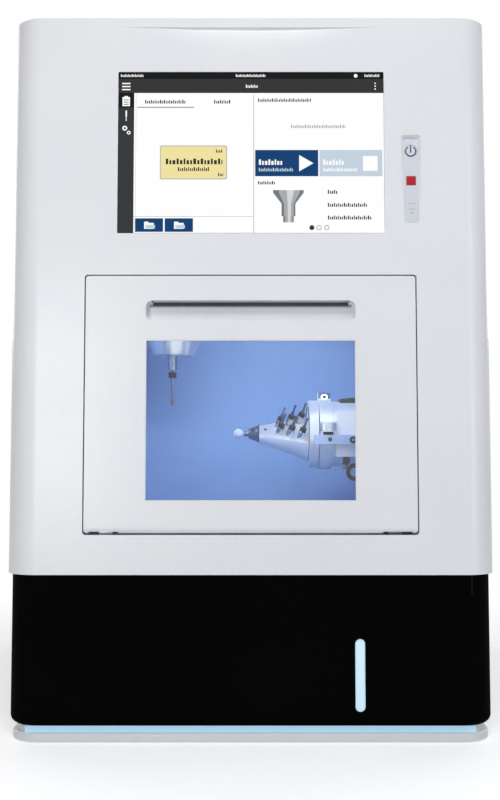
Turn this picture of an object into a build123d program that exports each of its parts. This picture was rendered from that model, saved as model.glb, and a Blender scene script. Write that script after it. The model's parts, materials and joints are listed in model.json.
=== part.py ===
from build123d import *
from math import cos, radians, sin
import os

os.makedirs("parts", exist_ok=True)

# Driving dimensions in millimetres: X to the right, Y to the back, Z up, origin on the floor

# Housing
HOUSING_W = 386.0
HOUSING_D = 500.0
TOP_Z = 572.0
CORNER_R = 26.0
SHELL_T = 4.0
SHELL_BOTTOM = 128.8
SEAM_DEPTH = 70.0
REAR_RETURN = 16.0
REAR_RECESS = 14.0
PANEL_GAP = 0.3
FRONT_Y = -HOUSING_D / 2
REAR_Y = HOUSING_D / 2
SEAM_Y = FRONT_Y + SEAM_DEPTH
INNER_FRONT_Y = FRONT_Y + SHELL_T
INNER_HALF_W = HOUSING_W / 2 - SHELL_T

# Top hoods
HOOD_W = 19.0
HOOD_D = 90.0
HOOD_H = 0.8
HOOD_PITCH = 38.6
HOOD_COUNT = 8
HOOD_SETBACK = 4.5
HOOD_SLOT = 3.0

# Crescent scoop
SCOOP_TOP_Z = 564.5
SCOOP_CHORD = 212.0
SCOOP_SAG = 24.5
SCOOP_DEPTH = 2.0

# Screen
SCREEN_W = 212.2
SCREEN_H = 130.9
SCREEN_X = 0.3
SCREEN_Z = 462.35
SCREEN_R = 1.0
SCREEN_GAP = 0.2
SCREEN_BOX_MARGIN = 9.0
SCREEN_BOX_D = 26.0

# Key channel
CHANNEL_X = 127.8
CHANNEL_Z = 440.4
CHANNEL_W = 15.8
CHANNEL_H = 71.8
CHANNEL_R = 2.2
CHANNEL_FLOOR_W = 11.6
CHANNEL_FLOOR_H = 70.4
CHANNEL_DEPTH = 1.5
CHANNEL_TILT = 1.9
INSERT_MARGIN = 0.2
INSERT_LAP = 3.5
INSERT_FLANGE_T = 2.0
POWER_KEY_Z = 464.1
POWER_KEY_R = 4.9
STOP_KEY_Z = 439.6
STOP_KEY_W = 7.2
KEY_GAP = 0.2
KEY_T = 4.6

# Door
DOOR_W = 260.0
DOOR_BOTTOM = 160.5
DOOR_H = 202.3
DOOR_T = 12.0
DOOR_R = 2.5
DOOR_GAP = 1.0
HINGE_INSET = 5.0
HINGE_PIN_R = 1.5
HINGE_CLEAR = 0.05
KNUCKLE_X = 114.75
KNUCKLE_W = 11.5
KNUCKLE_R = 3.0
POCKET_W = 23.0
POCKET_CLEAR = 0.5
PIN_REACH = 3.0
HINGE_FOOT_T = 2.0
HINGE_FOOT_H = 16.0
WINDOW_W = 165.8
WINDOW_H = 127.0
WINDOW_Z = 248.8
WINDOW_R = 2.0
PANE_T = 5.0
PANE_LIP = 8.0
PANE_SETBACK = 1.0
GRIP_W = 165.2
GRIP_H = 15.8
GRIP_Z = 335.1
GRIP_R = 5.0
GRIP_DEPTH = 9.0
GRIP_HOOK = 4.0
GRIP_LIP_T = 3.0
DOOR_Z = DOOR_BOTTOM + DOOR_H / 2
DOOR_BACK_Y = FRONT_Y + DOOR_T
HINGE_Y = FRONT_Y + HINGE_INSET
HINGE_Z = DOOR_BOTTOM + HINGE_INSET

# Base and drawer
BASE_STEP = 2.8
BASE_BOTTOM = 12.4
BASE_R = 25.0
BASE_EDGE_R = 6.0
BASE_T = 4.0
DRAWER_GAP = 0.8
DRAWER_SEAM_GAP = 0.5
BASE_W = HOUSING_W - 2 * BASE_STEP
BASE_D = HOUSING_D - 2 * BASE_STEP
BASE_FRONT_Y = FRONT_Y + BASE_STEP
BASE_FLOOR = BASE_BOTTOM + BASE_T
DRAWER_TOP = SHELL_BOTTOM - DRAWER_GAP

# Level light
LEVEL_X = 84.8
LEVEL_Z = 51.6
LEVEL_W = 8.0
LEVEL_H = 55.8
LEVEL_RECESS = 1.2
LEVEL_GAP = 0.1
LEVEL_BODY_T = 8.0

# Tank
TANK_W = 296.0
TANK_D = 330.0
TANK_H = 84.0
TANK_T = 3.0
TANK_R = 14.0
TANK_SETBACK = 22.0
RUNNER_W = 10.0
RUNNER_T = 4.0
RUNNER_Z = 50.0
RUNNER_GAP = 0.3
RAIL_T = 2.5
RAIL_L = 360.0
TANK_LIFT = 3.0
RAIL_SETBACK = 5.0
ARM_X = 115.0
ARM_W = 20.0
ARM_H = 8.0

# Plinth
PLINTH_STEP = 4.9
PLINTH_R = 23.5
PLINTH_Z = 1.5
PLINTH_TOP = 7.0
PLINTH_BEVEL = 1.2
RISER_SETBACK = 8.0
RISER_R = 20.0
STRIP_INSET = 18.0
STRIP_SETBACK = 9.3
STRIP_D = 9.0
STRIP_GAP = 0.3
FOOT_R = 18.0
FOOT_INSET = 46.0
PLINTH_W = HOUSING_W - 2 * PLINTH_STEP
STRIP_W = HOUSING_W - 2 * STRIP_INSET
PLINTH_D = HOUSING_D - 2 * PLINTH_STEP

# Chassis
DECK_T = 4.0
DECK_GAP = 0.5
CHASSIS_SIDE_GAP = 13.0
CHASSIS_T = 6.0
CHASSIS_SETBACK = 42.0
CHASSIS_REAR_GAP = 28.0
BULKHEAD_GAP = 18.0
BULKHEAD_T = 4.0
BULKHEAD_TOP = 545.0
TOP_T = 4.0
DECK_TOP = SHELL_BOTTOM + DECK_T
CHASSIS_TOP = TOP_Z - TOP_T
CHASSIS_X = INNER_HALF_W - CHASSIS_SIDE_GAP
CHASSIS_FRONT_Y = FRONT_Y + CHASSIS_SETBACK
CHASSIS_REAR_Y = REAR_Y - CHASSIS_REAR_GAP

# Chamber
LINER_T = 2.0
LINER_SIDE_GAP = 36.0
LINER_SETBACK = 22.0
LINER_INNER_D = 222.0
LINER_CEILING = 352.0
FLANGE_T = 4.0
FLANGE_EDGE = 12.0
FLANGE_TOP = 372.0
MOUTH_EDGE = 19.0
MOUTH_BOTTOM = 176.0
MOUTH_TOP = 347.0
SEAL_W = 6.0
SEAL_GAP = 0.3
DRAIN_X = -50.0
DRAIN_BACK = 54.0
DRAIN_R = 12.0
DRAIN_DROP = 14.0
LAMP_W = 180.0
LAMP_D = 9.0
LAMP_H = 5.0
LINER_HALF_W = CHASSIS_X - LINER_SIDE_GAP
LINER_FRONT_Y = FRONT_Y + LINER_SETBACK
LINER_BACK_Y = LINER_FRONT_Y + LINER_INNER_D
FLANGE_HALF_W = LINER_HALF_W + FLANGE_EDGE
MOUTH_W = 2 * (LINER_HALF_W - MOUTH_EDGE)
DRAIN_Y = LINER_BACK_Y - DRAIN_BACK
BULKHEAD_Y = LINER_BACK_Y + BULKHEAD_GAP
LINER_ROOF = LINER_CEILING + LINER_T
LINER_SIDE_X = LINER_HALF_W + LINER_T
FLANGE_FRONT_Y = LINER_FRONT_Y - FLANGE_T

# Spindle and its slides
SPINDLE_SIDE_GAP = 69.0
WORK_SETBACK = 98.0
SPINDLE_R = 25.0
SPINDLE_TOP = 500.0
NOSE_R = 26.0
NOSE_TIP_R = 18.7
NOSE_Z = 311.6
NOSE_CONE_H = 17.0
NOSE_H = 34.0
SHAFT_R = 6.0
SHAFT_TOP = 470.0
COLLET_R = 3.85
COLLET_BOTTOM = 299.2
TOOL_R = 1.5
TOOL_TIP_Z = 266.8
BURR_TOP = 274.1
BURR_R = 1.2
RING_R = 3.75
RING_BOTTOM = 292.5
RING_H = 4.7
RUN_GAP = 0.05
FIT_GAP = 0.1
X_TRAVEL = 60.0
Y_TRAVEL = 20.0
GUIDE_H = 20.0
RAIL_W = 12.0
RAIL_H = 12.0
RAIL_GAP = 0.3
BLOCK_W = 28.0
BLOCK_LIFT = 2.0
SCREW_R = 4.0
NUT_W = 16.0
MOTOR_W = 20.0
MOTOR_L = 38.0
PLATE_T = 8.0
CLAMP_WALL = 7.0
CLAMP_H = 50.0
CLAMP_BOTTOM = 440.0
BEAM_T = 12.0
BEAM_BOTTOM = 392.0
BEAM_TOP = 516.0
X_RAIL_INSET = 18.0
X_PLATE_W = 92.0
X_BLOCK_L = 34.0
Z_PLATE_W = 88.0
Z_PLATE_H = 78.0
Z_PLATE_BOTTOM = 424.0
Z_RAIL_SPREAD = 28.0
Z_BLOCK_L = 44.0
END_BLOCK_L = 10.0
X_SCREW_LEFT_GAP = 16.0
X_SCREW_RIGHT_GAP = 80.0
COVER_T = 2.0
COVER_GAP = 0.3
SLOT_CLEAR = 2.0
COVER_LAP = 5.0
NOSE_CLEAR = 0.5
HANGER_W = 40.0
TOOL_GRIP_L = 14.0
SPINDLE_X = SPINDLE_SIDE_GAP - LINER_HALF_W
WORK_Y = LINER_FRONT_Y + WORK_SETBACK
CLAMP_BACK_Y = WORK_Y + SPINDLE_R + CLAMP_WALL
Z_PLATE_BACK_Y = CLAMP_BACK_Y + PLATE_T
X_SCREW_START = X_SCREW_LEFT_GAP - CHASSIS_X
X_SCREW_END = CHASSIS_X - X_SCREW_RIGHT_GAP
X_PLATE_FRONT_Y = Z_PLATE_BACK_Y + GUIDE_H
X_PLATE_BACK_Y = X_PLATE_FRONT_Y + PLATE_T
BEAM_Y = X_PLATE_BACK_Y + GUIDE_H
Z_SCREW_Y = Z_PLATE_BACK_Y + GUIDE_H / 2
X_SCREW_Y = X_PLATE_BACK_Y + GUIDE_H / 2
BEAM_MID_Z = (BEAM_BOTTOM + BEAM_TOP) / 2

# Rotary unit
AXIS_Z = 241.5
CONE_TIP_X = 7.7
CONE_TIP_R = 8.5
CONE_END_X = 52.0
CONE_END_R = 24.0
DISC_R = 30.0
DISC_END_X = 60.2
CLAMP_RING_R = 32.0
RING_GAP = 0.8
CLAMP_RING_L = 10.8
HOUSING_R = 29.0
A_SHAFT_R = 10.0
A_SHAFT_GAP = 10.0
EAR_W = 10.0
EAR_H = 5.0
REST_X = 74.0
REST_W = 38.0
REST_D = 12.0
REST_H = 39.5
REST_Z = 240.25
BAR_L = 57.0
BAR_D = 8.0
BAR_H = 8.0
BAR_Z = 235.2
BAR_SCREW_R = 6.7
BAR_SCREW_H = 8.4
BAR_SCREW_INSET = 11.8
BAR_NECK_R = 4.2
BAR_NECK_H = 2.7
FACET_ANGLE = 32.0
FACET_R = 4.0
MANDREL_R = 4.2
MANDREL_END_R = 7.9
MANDREL_X = -2.0
STUB_R = 2.2
STUB_X = -6.0
BLANK_R = 4.6
BLANK_L = 9.6
BLANK_ROUND = 2.0
SLEEVE_R = 3.2
SLEEVE_H = 7.0
SLEEVE_PITCH_X = 9.6
SLEEVE_ROW_Y = 9.9
SLEEVE_SPREAD = 0.4
SLEEVE_MID_X = 34.6
SLEEVE_LEAN = 17.0
SLEEVE_SUNK = 2.0
SPARE_RING_R = 3.0
SPARE_RING_H = 3.0
SPARE_SHANK_H = 11.0
Y_PLATE_D = 76.0
Y_PLATE_H = 122.0
Y_RAIL_SPREAD = 44.0
Y_BLOCK_L = 40.0
Y_RAIL_REACH = 66.0
Y_PLATE_BACK_X = CHASSIS_X - GUIDE_H
Y_PLATE_X = Y_PLATE_BACK_X - PLATE_T
Y_RAIL_FRONT = WORK_Y - Y_RAIL_REACH
Y_RAIL_REAR = WORK_Y + Y_RAIL_REACH
A_SHAFT_END_X = Y_PLATE_X - A_SHAFT_GAP
Y_SCREW_X = CHASSIS_X - GUIDE_H / 2

# Door lock
LOCK_EDGE = 52.0
BOLT_R = 2.0
BOLT_HOLE_R = 2.6
LOCK_W = 30.0
LOCK_D = 36.0
LOCK_H = 18.0
BOLT_REAR = 26.0
LOCK_LIFT = 3.0
STRIKE_W = 9.0
STRIKE_H = 6.0
STRIKE_DEPTH = 7.5

# Electrics and rear
REAR_T = 4.0
SUPPLY_W = 100.0
SUPPLY_D = 50.0
SUPPLY_H = 180.0
SUPPLY_SIDE_GAP = 10.0
SUPPLY_Z = 240.0
BOARD_W = 170.0
BOARD_H = 200.0
BOARD_T = 1.6
BOARD_X = 60.0
BOARD_Z = 400.0
POST_H = 8.0
POST_R = 3.0
BOARD_EDGE = 14.0
DRIVER_PITCH = 42.0
DRIVER_W = 24.0
DRIVER_H = 9.0
FAN_W = 80.0
FAN_T = 25.0
FAN_X = 90.0
FAN_Z = 480.0
FAN_BORE_R = 38.0
ROTOR_R = 36.5
HUB_R = 16.0
FAN_PIN_R = 2.0
FAN_PIN_SETBACK = 2.0
FAN_STRUT_T = 3.0
FAN_STRUT_W = 4.0
FAN_ROTOR_GAP = 0.5
BLADE_T = 2.0
BLADES = 7
FAN_HUB_GUARD_R = 12.0
FAN_SPOKE_W = 2.0
FAN_RINGS = (31.0, 24.5, 18.0)
FAN_GUARD_T = 1.5
INLET_X = -100.0
INLET_Z = 190.0
INLET_W = 28.0
INLET_H = 22.0
INLET_D = 26.0
INLET_WALL = 2.0
INLET_PIN_L = 13.0
INLET_PIN_T = 2.0
INLET_PIN_W = 4.0
INLET_PIN_RISE = 3.5
INLET_PIN_PITCH = 14.0
MODULE_LIP_T = 3.0
MODULE_W = 80.0
MODULE_H = 30.0
MODULE_R = 3.0
SWITCH_X = -60.0
SWITCH_W = 13.0
SWITCH_H = 20.0
SWITCH_WALL = 1.5
ROCKER_GAP = 0.5
ROCKER_PIN_R = 1.2
ROCKER_HUB_R = 3.0
ROCKER_SINK = 6.0
ROCKER_H = 13.0
ROCKER_DISH = 1.0
SOCKET_X = 40.0
SOCKET_PITCH = 26.0
SOCKET_W = 18.0
SOCKET_H = 15.0
SOCKET_D = 21.0
SOCKET_PROUD = 1.0
SOCKET_HOLE_W = 12.0
SOCKET_HOLE_H = 9.0
SOCKET_HOLE_D = 12.0
AIR_X = 110.0
AIR_R = 8.0
AIR_BORE_R = 4.05
AIR_L = 30.0
AIR_OUT = 8.0
AIR_BORE_L = 16.0
AIR_NUT_R = 11.0
AIR_NUT_T = 5.0
PUMP_W = 60.0
PUMP_D = 46.0
PUMP_H = 62.0
PUMP_X = 0.0
PUMP_SETBACK = 60.0
PUMP_HEAD_R = 18.0
PUMP_HEAD_H = 8.0
PUMP_STUB_R = 5.0
PUMP_STUB_H = 10.0
REAR_PANEL_Y = REAR_Y - REAR_RECESS
PUMP_Y = REAR_Y - PUMP_SETBACK
SUPPLY_X = CHASSIS_T + SUPPLY_SIDE_GAP + SUPPLY_W / 2 - CHASSIS_X


# Places that follow from the sizes above
SCOOP_R = (SCOOP_CHORD ** 2 / 4 + SCOOP_SAG ** 2) / (2 * SCOOP_SAG)
SCOOP_TOP_R = SCOOP_R - SCOOP_SAG
SCOOP_CENTRE_Z = SCOOP_TOP_Z - SCOOP_SAG + SCOOP_R
LID_W = 2 * (INNER_HALF_W - PANEL_GAP)
LID_D = HOUSING_D - 2 * (SHELL_T + PANEL_GAP)
HOOD_Y = -LID_D / 2 + HOOD_SETBACK + HOOD_D / 2
INSERT_W = CHANNEL_FLOOR_W - 2 * INSERT_MARGIN
INSERT_L = CHANNEL_FLOOR_H - 2 * INSERT_MARGIN
INSERT_BACK_Y = INNER_FRONT_Y + INSERT_FLANGE_T
INSERT_FLANGE_W = INSERT_W + 2 * INSERT_LAP
INSERT_FLANGE_H = INSERT_L + 2 * INSERT_LAP
DOOR_BEVEL = HINGE_INSET - POCKET_CLEAR
PANE_W = WINDOW_W + 2 * PANE_LIP
PANE_H = WINDOW_H + 2 * PANE_LIP
POCKET_FRONT_Y = HINGE_Y - KNUCKLE_R - POCKET_CLEAR
POCKET_D = DOOR_BACK_Y - POCKET_FRONT_Y
POCKET_H = HINGE_INSET + KNUCKLE_R + POCKET_CLEAR
POCKET_MID_Y = POCKET_FRONT_Y + POCKET_D / 2
POCKET_MID_Z = DOOR_BOTTOM + POCKET_H / 2
BASE_INNER_FRONT_Y = BASE_FRONT_Y + BASE_T
TANK_BOTTOM = BASE_FLOOR + TANK_LIFT
TANK_FRONT_Y = BASE_INNER_FRONT_Y + TANK_SETBACK
TANK_Y = TANK_FRONT_Y + TANK_D / 2
RAIL_X = TANK_W / 2 + RUNNER_GAP
RAIL_CHANNEL_W = RUNNER_W + RAIL_T
RAIL_TOP = RUNNER_Z + RUNNER_T / 2 + RUNNER_GAP + RAIL_T
RAIL_Y = SEAM_Y + RAIL_SETBACK + RAIL_L / 2
STRIP_REAR_Y = FRONT_Y + STRIP_SETBACK + STRIP_D
DECK_W = 2 * (INNER_HALF_W - DECK_GAP)
DECK_D = HOUSING_D - 2 * (SHELL_T + DECK_GAP)
CHASSIS_MID_Y = (CHASSIS_FRONT_Y + CHASSIS_REAR_Y) / 2
CHASSIS_MID_Z = (DECK_TOP + CHASSIS_TOP) / 2
DRAIN_OUTER_R = DRAIN_R + LINER_T
LINER_FLOOR = DECK_TOP + LINER_T
LINER_D = LINER_BACK_Y + LINER_T - LINER_FRONT_Y
LINER_MID_Y = LINER_FRONT_Y + LINER_D / 2
LOCK_X = FLANGE_HALF_W - LOCK_EDGE
LOCK_Z = LINER_ROOF + LOCK_LIFT
SLOT_R = NOSE_R + SLOT_CLEAR
WALL_SLOT_R = HOUSING_R + SLOT_CLEAR
X_RAIL_ZS = (BEAM_BOTTOM + X_RAIL_INSET, BEAM_TOP - X_RAIL_INSET)
X_SCREW_MID = (X_SCREW_START + X_SCREW_END) / 2
X_SCREW_SPAN = X_SCREW_END - X_SCREW_START + 2 * END_BLOCK_L
Y_SCREW_SPAN = Y_RAIL_REAR - Y_RAIL_FRONT + 2 * END_BLOCK_L
BLOCK_H_ALL = GUIDE_H - BLOCK_LIFT
Z_END_D = GUIDE_H - BLOCK_LIFT
COVER_MID_Z = LINER_ROOF + COVER_GAP + COVER_T / 2
CLAMP_RING_X = DISC_END_X + RING_GAP
BULKHEAD_BACK_Y = BULKHEAD_Y + BULKHEAD_T
FAN_FACE_Y = REAR_PANEL_Y - REAR_T
ROCKER_Y = REAR_PANEL_Y + MODULE_LIP_T - ROCKER_SINK
ROCKER_FACE_Y = REAR_PANEL_Y + MODULE_LIP_T
ROCKER_W = SWITCH_W - 2 * SWITCH_WALL - 2 * ROCKER_GAP
FACET_X = CONE_TIP_X
FACET_L = CONE_END_X - CONE_TIP_X
BAR_SCREW_X = REST_X + REST_W - BAR_L + BAR_SCREW_INSET
BAR_MID_Y = WORK_Y - HOUSING_R - REST_D - BAR_D / 2
A_BORE_L = A_SHAFT_END_X + RUN_GAP - CLAMP_RING_X

ON_BASE = (Align.CENTER, Align.CENTER, Align.MIN)
FRONT = Plane.XZ.offset(-FRONT_Y)
CHANNEL_FLOOR = Plane(
    origin=(CHANNEL_X, FRONT_Y + CHANNEL_DEPTH, CHANNEL_Z),
    x_dir=(1, 0, 0),
    z_dir=(0, -cos(radians(CHANNEL_TILT)), sin(radians(CHANNEL_TILT))),
)
FACET_NORMAL = Vector(0, -sin(radians(FACET_ANGLE)), cos(radians(FACET_ANGLE)))
FACET = Plane(
    origin=Vector(FACET_X, WORK_Y, AXIS_Z) + FACET_NORMAL * FACET_R,
    x_dir=(1, 0, 0),
    z_dir=FACET_NORMAL,
)
SPINDLE_AXIS = Axis((SPINDLE_X, WORK_Y, 0), (0, 0, 1))
ROTARY_AXIS = Axis((0, WORK_Y, AXIS_Z), (1, 0, 0))


def across(y):
    """The upright plane at depth y, seen from the front: X to the right, Z up."""
    return Plane.XZ.offset(-y)


def facing_x(x):
    """The upright plane at x, with Y to the right and Z up."""
    return Plane.YZ.offset(x)


# Housing

with BuildPart() as front_cover:
    with BuildSketch(Plane.XY.offset(SHELL_BOTTOM)):
        RectangleRounded(HOUSING_W, HOUSING_D, CORNER_R)
        RectangleRounded(2 * INNER_HALF_W, HOUSING_D - 2 * SHELL_T, CORNER_R - SHELL_T, mode=Mode.SUBTRACT)
    extrude(amount=TOP_Z - SHELL_BOTTOM)
    split(bisect_by=across(SEAM_Y), keep=Keep.TOP)
    with BuildSketch(FRONT):
        with Locations((SCREEN_X, SCREEN_Z)):
            RectangleRounded(SCREEN_W, SCREEN_H, SCREEN_R)
        with Locations((0, DOOR_Z)):
            RectangleRounded(DOOR_W + 2 * DOOR_GAP, DOOR_H + 2 * DOOR_GAP, DOOR_R)
    extrude(amount=-SHELL_T, mode=Mode.SUBTRACT)
    # key channel: sloped sides down to a tilted floor, deepest at the top
    with BuildSketch(FRONT):
        with Locations((CHANNEL_X, CHANNEL_Z)):
            RectangleRounded(CHANNEL_W, CHANNEL_H, CHANNEL_R)
    with BuildSketch(CHANNEL_FLOOR):
        RectangleRounded(CHANNEL_FLOOR_W, CHANNEL_FLOOR_H, CHANNEL_R)
    loft(mode=Mode.SUBTRACT)
    with BuildSketch(CHANNEL_FLOOR):
        RectangleRounded(INSERT_W, INSERT_L, CHANNEL_R)
    extrude(amount=-2 * SHELL_T, mode=Mode.SUBTRACT)
    # crescent scoop: a shallow cone frustum kept below the straight top edge
    with BuildPart(mode=Mode.PRIVATE) as scoop:
        with Locations(Location((0, FRONT_Y + SCOOP_DEPTH / 2, SCOOP_CENTRE_Z), (90, 0, 0))):
            Cone(SCOOP_TOP_R, SCOOP_R, SCOOP_DEPTH)
        with Locations((0, FRONT_Y, SCOOP_TOP_Z - SCOOP_SAG)):
            Box(SCOOP_CHORD, 4 * SCOOP_DEPTH, 2 * SCOOP_SAG, mode=Mode.INTERSECT)
    add(scoop.part, mode=Mode.SUBTRACT)
front_cover.part.label = "front_cover"
export_step(front_cover.part, "parts/front_cover.step")


def side_cover(side):
    """A side cover from the front seam round the rear corner; side is 1 for right, -1 for left."""
    with BuildPart() as cover:
        with BuildSketch(Plane.XY.offset(SHELL_BOTTOM)):
            RectangleRounded(HOUSING_W, HOUSING_D, CORNER_R)
            RectangleRounded(
                2 * INNER_HALF_W, HOUSING_D - 2 * SHELL_T, CORNER_R - SHELL_T, mode=Mode.SUBTRACT
            )
        extrude(amount=TOP_Z - SHELL_BOTTOM)
        split(bisect_by=across(SEAM_Y), keep=Keep.BOTTOM)
        return_x = side * (HOUSING_W / 2 - CORNER_R - REAR_RETURN)
        split(bisect_by=facing_x(return_x), keep=Keep.TOP if side > 0 else Keep.BOTTOM)
    return cover.part


side_cover_left = side_cover(-1)
side_cover_left.label = "side_cover_left"
export_step(side_cover_left, "parts/side_cover_left.step")

side_cover_right = side_cover(1)
side_cover_right.label = "side_cover_right"
export_step(side_cover_right, "parts/side_cover_right.step")

with BuildPart() as top_cover:
    with BuildSketch(Plane.XY.offset(CHASSIS_TOP)):
        RectangleRounded(LID_W, LID_D, CORNER_R - SHELL_T - PANEL_GAP)
    extrude(amount=TOP_T)
    # eight low hoods, each open at the front over its air slot
    with BuildSketch(Plane.XY.offset(TOP_Z)):
        with Locations((0, HOOD_Y)):
            with GridLocations(HOOD_PITCH, 1, HOOD_COUNT, 1):
                RectangleRounded(HOOD_W, HOOD_D, HOOD_SLOT / 2)
    extrude(amount=HOOD_H)
    with BuildSketch(Plane.XY.offset(CHASSIS_TOP)):
        with Locations((0, HOOD_Y + HOOD_D / 2 + HOOD_SLOT)):
            with GridLocations(HOOD_PITCH, 1, HOOD_COUNT, 1):
                SlotOverall(HOOD_W, HOOD_SLOT)
    extrude(amount=TOP_T, mode=Mode.SUBTRACT)
top_cover.part.label = "top_cover"
export_step(top_cover.part, "parts/top_cover.step")

with BuildPart() as rear_panel:
    with BuildSketch(Plane.XY.offset(DECK_TOP)):
        RectangleRounded(LID_W, LID_D, CORNER_R - SHELL_T - PANEL_GAP)
        with Locations((0, REAR_PANEL_Y - REAR_T / 2)):
            Rectangle(LID_W, REAR_T, mode=Mode.INTERSECT)
    extrude(amount=CHASSIS_TOP - DECK_TOP)
    with BuildSketch(across(REAR_PANEL_Y)):
        with Locations((FAN_X, FAN_Z)):
            Circle(FAN_BORE_R)
        with Locations((INLET_X, INLET_Z)):
            Rectangle(INLET_W, INLET_H)
        with Locations((SWITCH_X, INLET_Z)):
            Rectangle(SWITCH_W, SWITCH_H)
        with Locations((SOCKET_X, INLET_Z)):
            with GridLocations(SOCKET_PITCH, 1, 2, 1):
                Rectangle(SOCKET_W, SOCKET_H)
        with Locations((AIR_X, INLET_Z)):
            Circle(AIR_R)
    extrude(amount=REAR_T, mode=Mode.SUBTRACT)
    # spokes that guard the fan opening
    with BuildSketch(across(REAR_PANEL_Y)):
        with Locations((FAN_X, FAN_Z)):
            for ring_r in FAN_RINGS:
                Circle(ring_r + FAN_SPOKE_W / 2)
                Circle(ring_r - FAN_SPOKE_W / 2, mode=Mode.SUBTRACT)
            Circle(FAN_HUB_GUARD_R)
            with PolarLocations(0, 3):
                Rectangle(2 * FAN_BORE_R + FAN_SPOKE_W, FAN_SPOKE_W)
    extrude(amount=FAN_GUARD_T)
rear_panel.part.label = "rear_panel"
export_step(rear_panel.part, "parts/rear_panel.step")


# Black base, drawer and plinth

def base_tub(front):
    """The black base, hollow with a floor; its front part is the drawer front."""
    with BuildPart() as tub:
        with BuildSketch(Plane.XY.offset(BASE_BOTTOM)):
            RectangleRounded(BASE_W, BASE_D, BASE_R)
        extrude(amount=(DRAWER_TOP if front else SHELL_BOTTOM) - BASE_BOTTOM)
        fillet(tub.faces().sort_by(Axis.Z)[0].edges(), BASE_EDGE_R)
        with BuildSketch(Plane.XY.offset(BASE_FLOOR)):
            RectangleRounded(BASE_W - 2 * BASE_T, BASE_D - 2 * BASE_T, BASE_R - BASE_T)
        extrude(amount=SHELL_BOTTOM - BASE_FLOOR, mode=Mode.SUBTRACT)
        if front:
            split(bisect_by=across(SEAM_Y - DRAWER_SEAM_GAP), keep=Keep.TOP)
            with BuildSketch(across(BASE_FRONT_Y)):
                with Locations((LEVEL_X, LEVEL_Z)):
                    SlotOverall(LEVEL_H, LEVEL_W, rotation=90)
            extrude(amount=-BASE_T, mode=Mode.SUBTRACT)
        else:
            split(bisect_by=across(SEAM_Y), keep=Keep.BOTTOM)
    return tub.part


drawer_front = base_tub(True)
drawer_front.label = "drawer_front"
export_step(drawer_front, "parts/drawer_front.step")

base_shell = base_tub(False)
base_shell.label = "base_shell"
export_step(base_shell, "parts/base_shell.step")

with BuildPart() as level_light:
    with BuildSketch(across(BASE_FRONT_Y + LEVEL_RECESS)):
        with Locations((LEVEL_X, LEVEL_Z)):
            SlotOverall(LEVEL_H - 2 * LEVEL_GAP, LEVEL_W - 2 * LEVEL_GAP, rotation=90)
    extrude(amount=-(BASE_T - LEVEL_RECESS))
    with BuildSketch(across(BASE_FRONT_Y + BASE_T)):
        with Locations((LEVEL_X, LEVEL_Z)):
            Rectangle(2 * LEVEL_W, LEVEL_H + LEVEL_W)
    extrude(amount=-LEVEL_BODY_T)
level_light.part.label = "level_light"
export_step(level_light.part, "parts/level_light.step")

with BuildPart() as coolant_tank:
    with BuildSketch(Plane.XY.offset(TANK_BOTTOM)):
        with Locations((0, TANK_Y)):
            RectangleRounded(TANK_W, TANK_D, TANK_R)
    extrude(amount=TANK_H)
    with BuildSketch(Plane.XY.offset(TANK_BOTTOM + TANK_T)):
        with Locations((0, TANK_Y)):
            RectangleRounded(TANK_W - 2 * TANK_T, TANK_D - 2 * TANK_T, TANK_R - TANK_T)
    extrude(amount=TANK_H, mode=Mode.SUBTRACT)
    # runners along both long sides, and the two arms that carry the black front
    for side in (-1, 1):
        with Locations((side * (TANK_W / 2 + RUNNER_W / 2), TANK_Y, RUNNER_Z)):
            Box(RUNNER_W, TANK_D - 2 * TANK_R, RUNNER_T)
        with Locations((side * ARM_X, (TANK_FRONT_Y + BASE_INNER_FRONT_Y) / 2, RUNNER_Z)):
            Box(ARM_W, TANK_FRONT_Y - BASE_INNER_FRONT_Y, ARM_H)
coolant_tank.part.label = "coolant_tank"
export_step(coolant_tank.part, "parts/coolant_tank.step")

with BuildPart() as drawer_rails:
    # a channel on each side that holds the runner, standing on the base floor
    for side in (-1, 1):
        with Locations((side * (RAIL_X + RAIL_CHANNEL_W / 2), RAIL_Y, (BASE_FLOOR + RAIL_TOP) / 2)):
            Box(RAIL_CHANNEL_W, RAIL_L, RAIL_TOP - BASE_FLOOR)
        with Locations((side * (TANK_W / 2 + (RUNNER_W + RUNNER_GAP) / 2), RAIL_Y, RUNNER_Z)):
            Box(RUNNER_W + RUNNER_GAP, RAIL_L, RUNNER_T + 2 * RUNNER_GAP, mode=Mode.SUBTRACT)
drawer_rails.part.label = "drawer_rails"
export_step(drawer_rails.part, "parts/drawer_rails.step")

with BuildPart() as plinth:
    with BuildSketch(Plane.XY.offset(PLINTH_Z)):
        RectangleRounded(PLINTH_W, PLINTH_D, PLINTH_R)
    extrude(amount=PLINTH_TOP - PLINTH_Z)
    chamfer(plinth.faces().sort_by(Axis.Z)[-1].edges(), PLINTH_BEVEL)
    with BuildSketch(Plane.XY.offset(PLINTH_TOP)):
        RectangleRounded(HOUSING_W - 2 * RISER_SETBACK, HOUSING_D - 2 * RISER_SETBACK, RISER_R)
    extrude(amount=BASE_BOTTOM - PLINTH_TOP)
    # a low step under the sliding drawer front, and the notch for the light strip
    with Locations((0, (FRONT_Y + SEAM_Y) / 2, BASE_BOTTOM - STRIP_GAP / 2)):
        Box(HOUSING_W, SEAM_Y - FRONT_Y, STRIP_GAP, mode=Mode.SUBTRACT)
    with Locations((0, (FRONT_Y + STRIP_REAR_Y) / 2, (PLINTH_TOP + BASE_BOTTOM) / 2)):
        Box(STRIP_W, STRIP_REAR_Y - FRONT_Y, BASE_BOTTOM - PLINTH_TOP, mode=Mode.SUBTRACT)
plinth.part.label = "plinth"
export_step(plinth.part, "parts/plinth.step")

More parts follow.
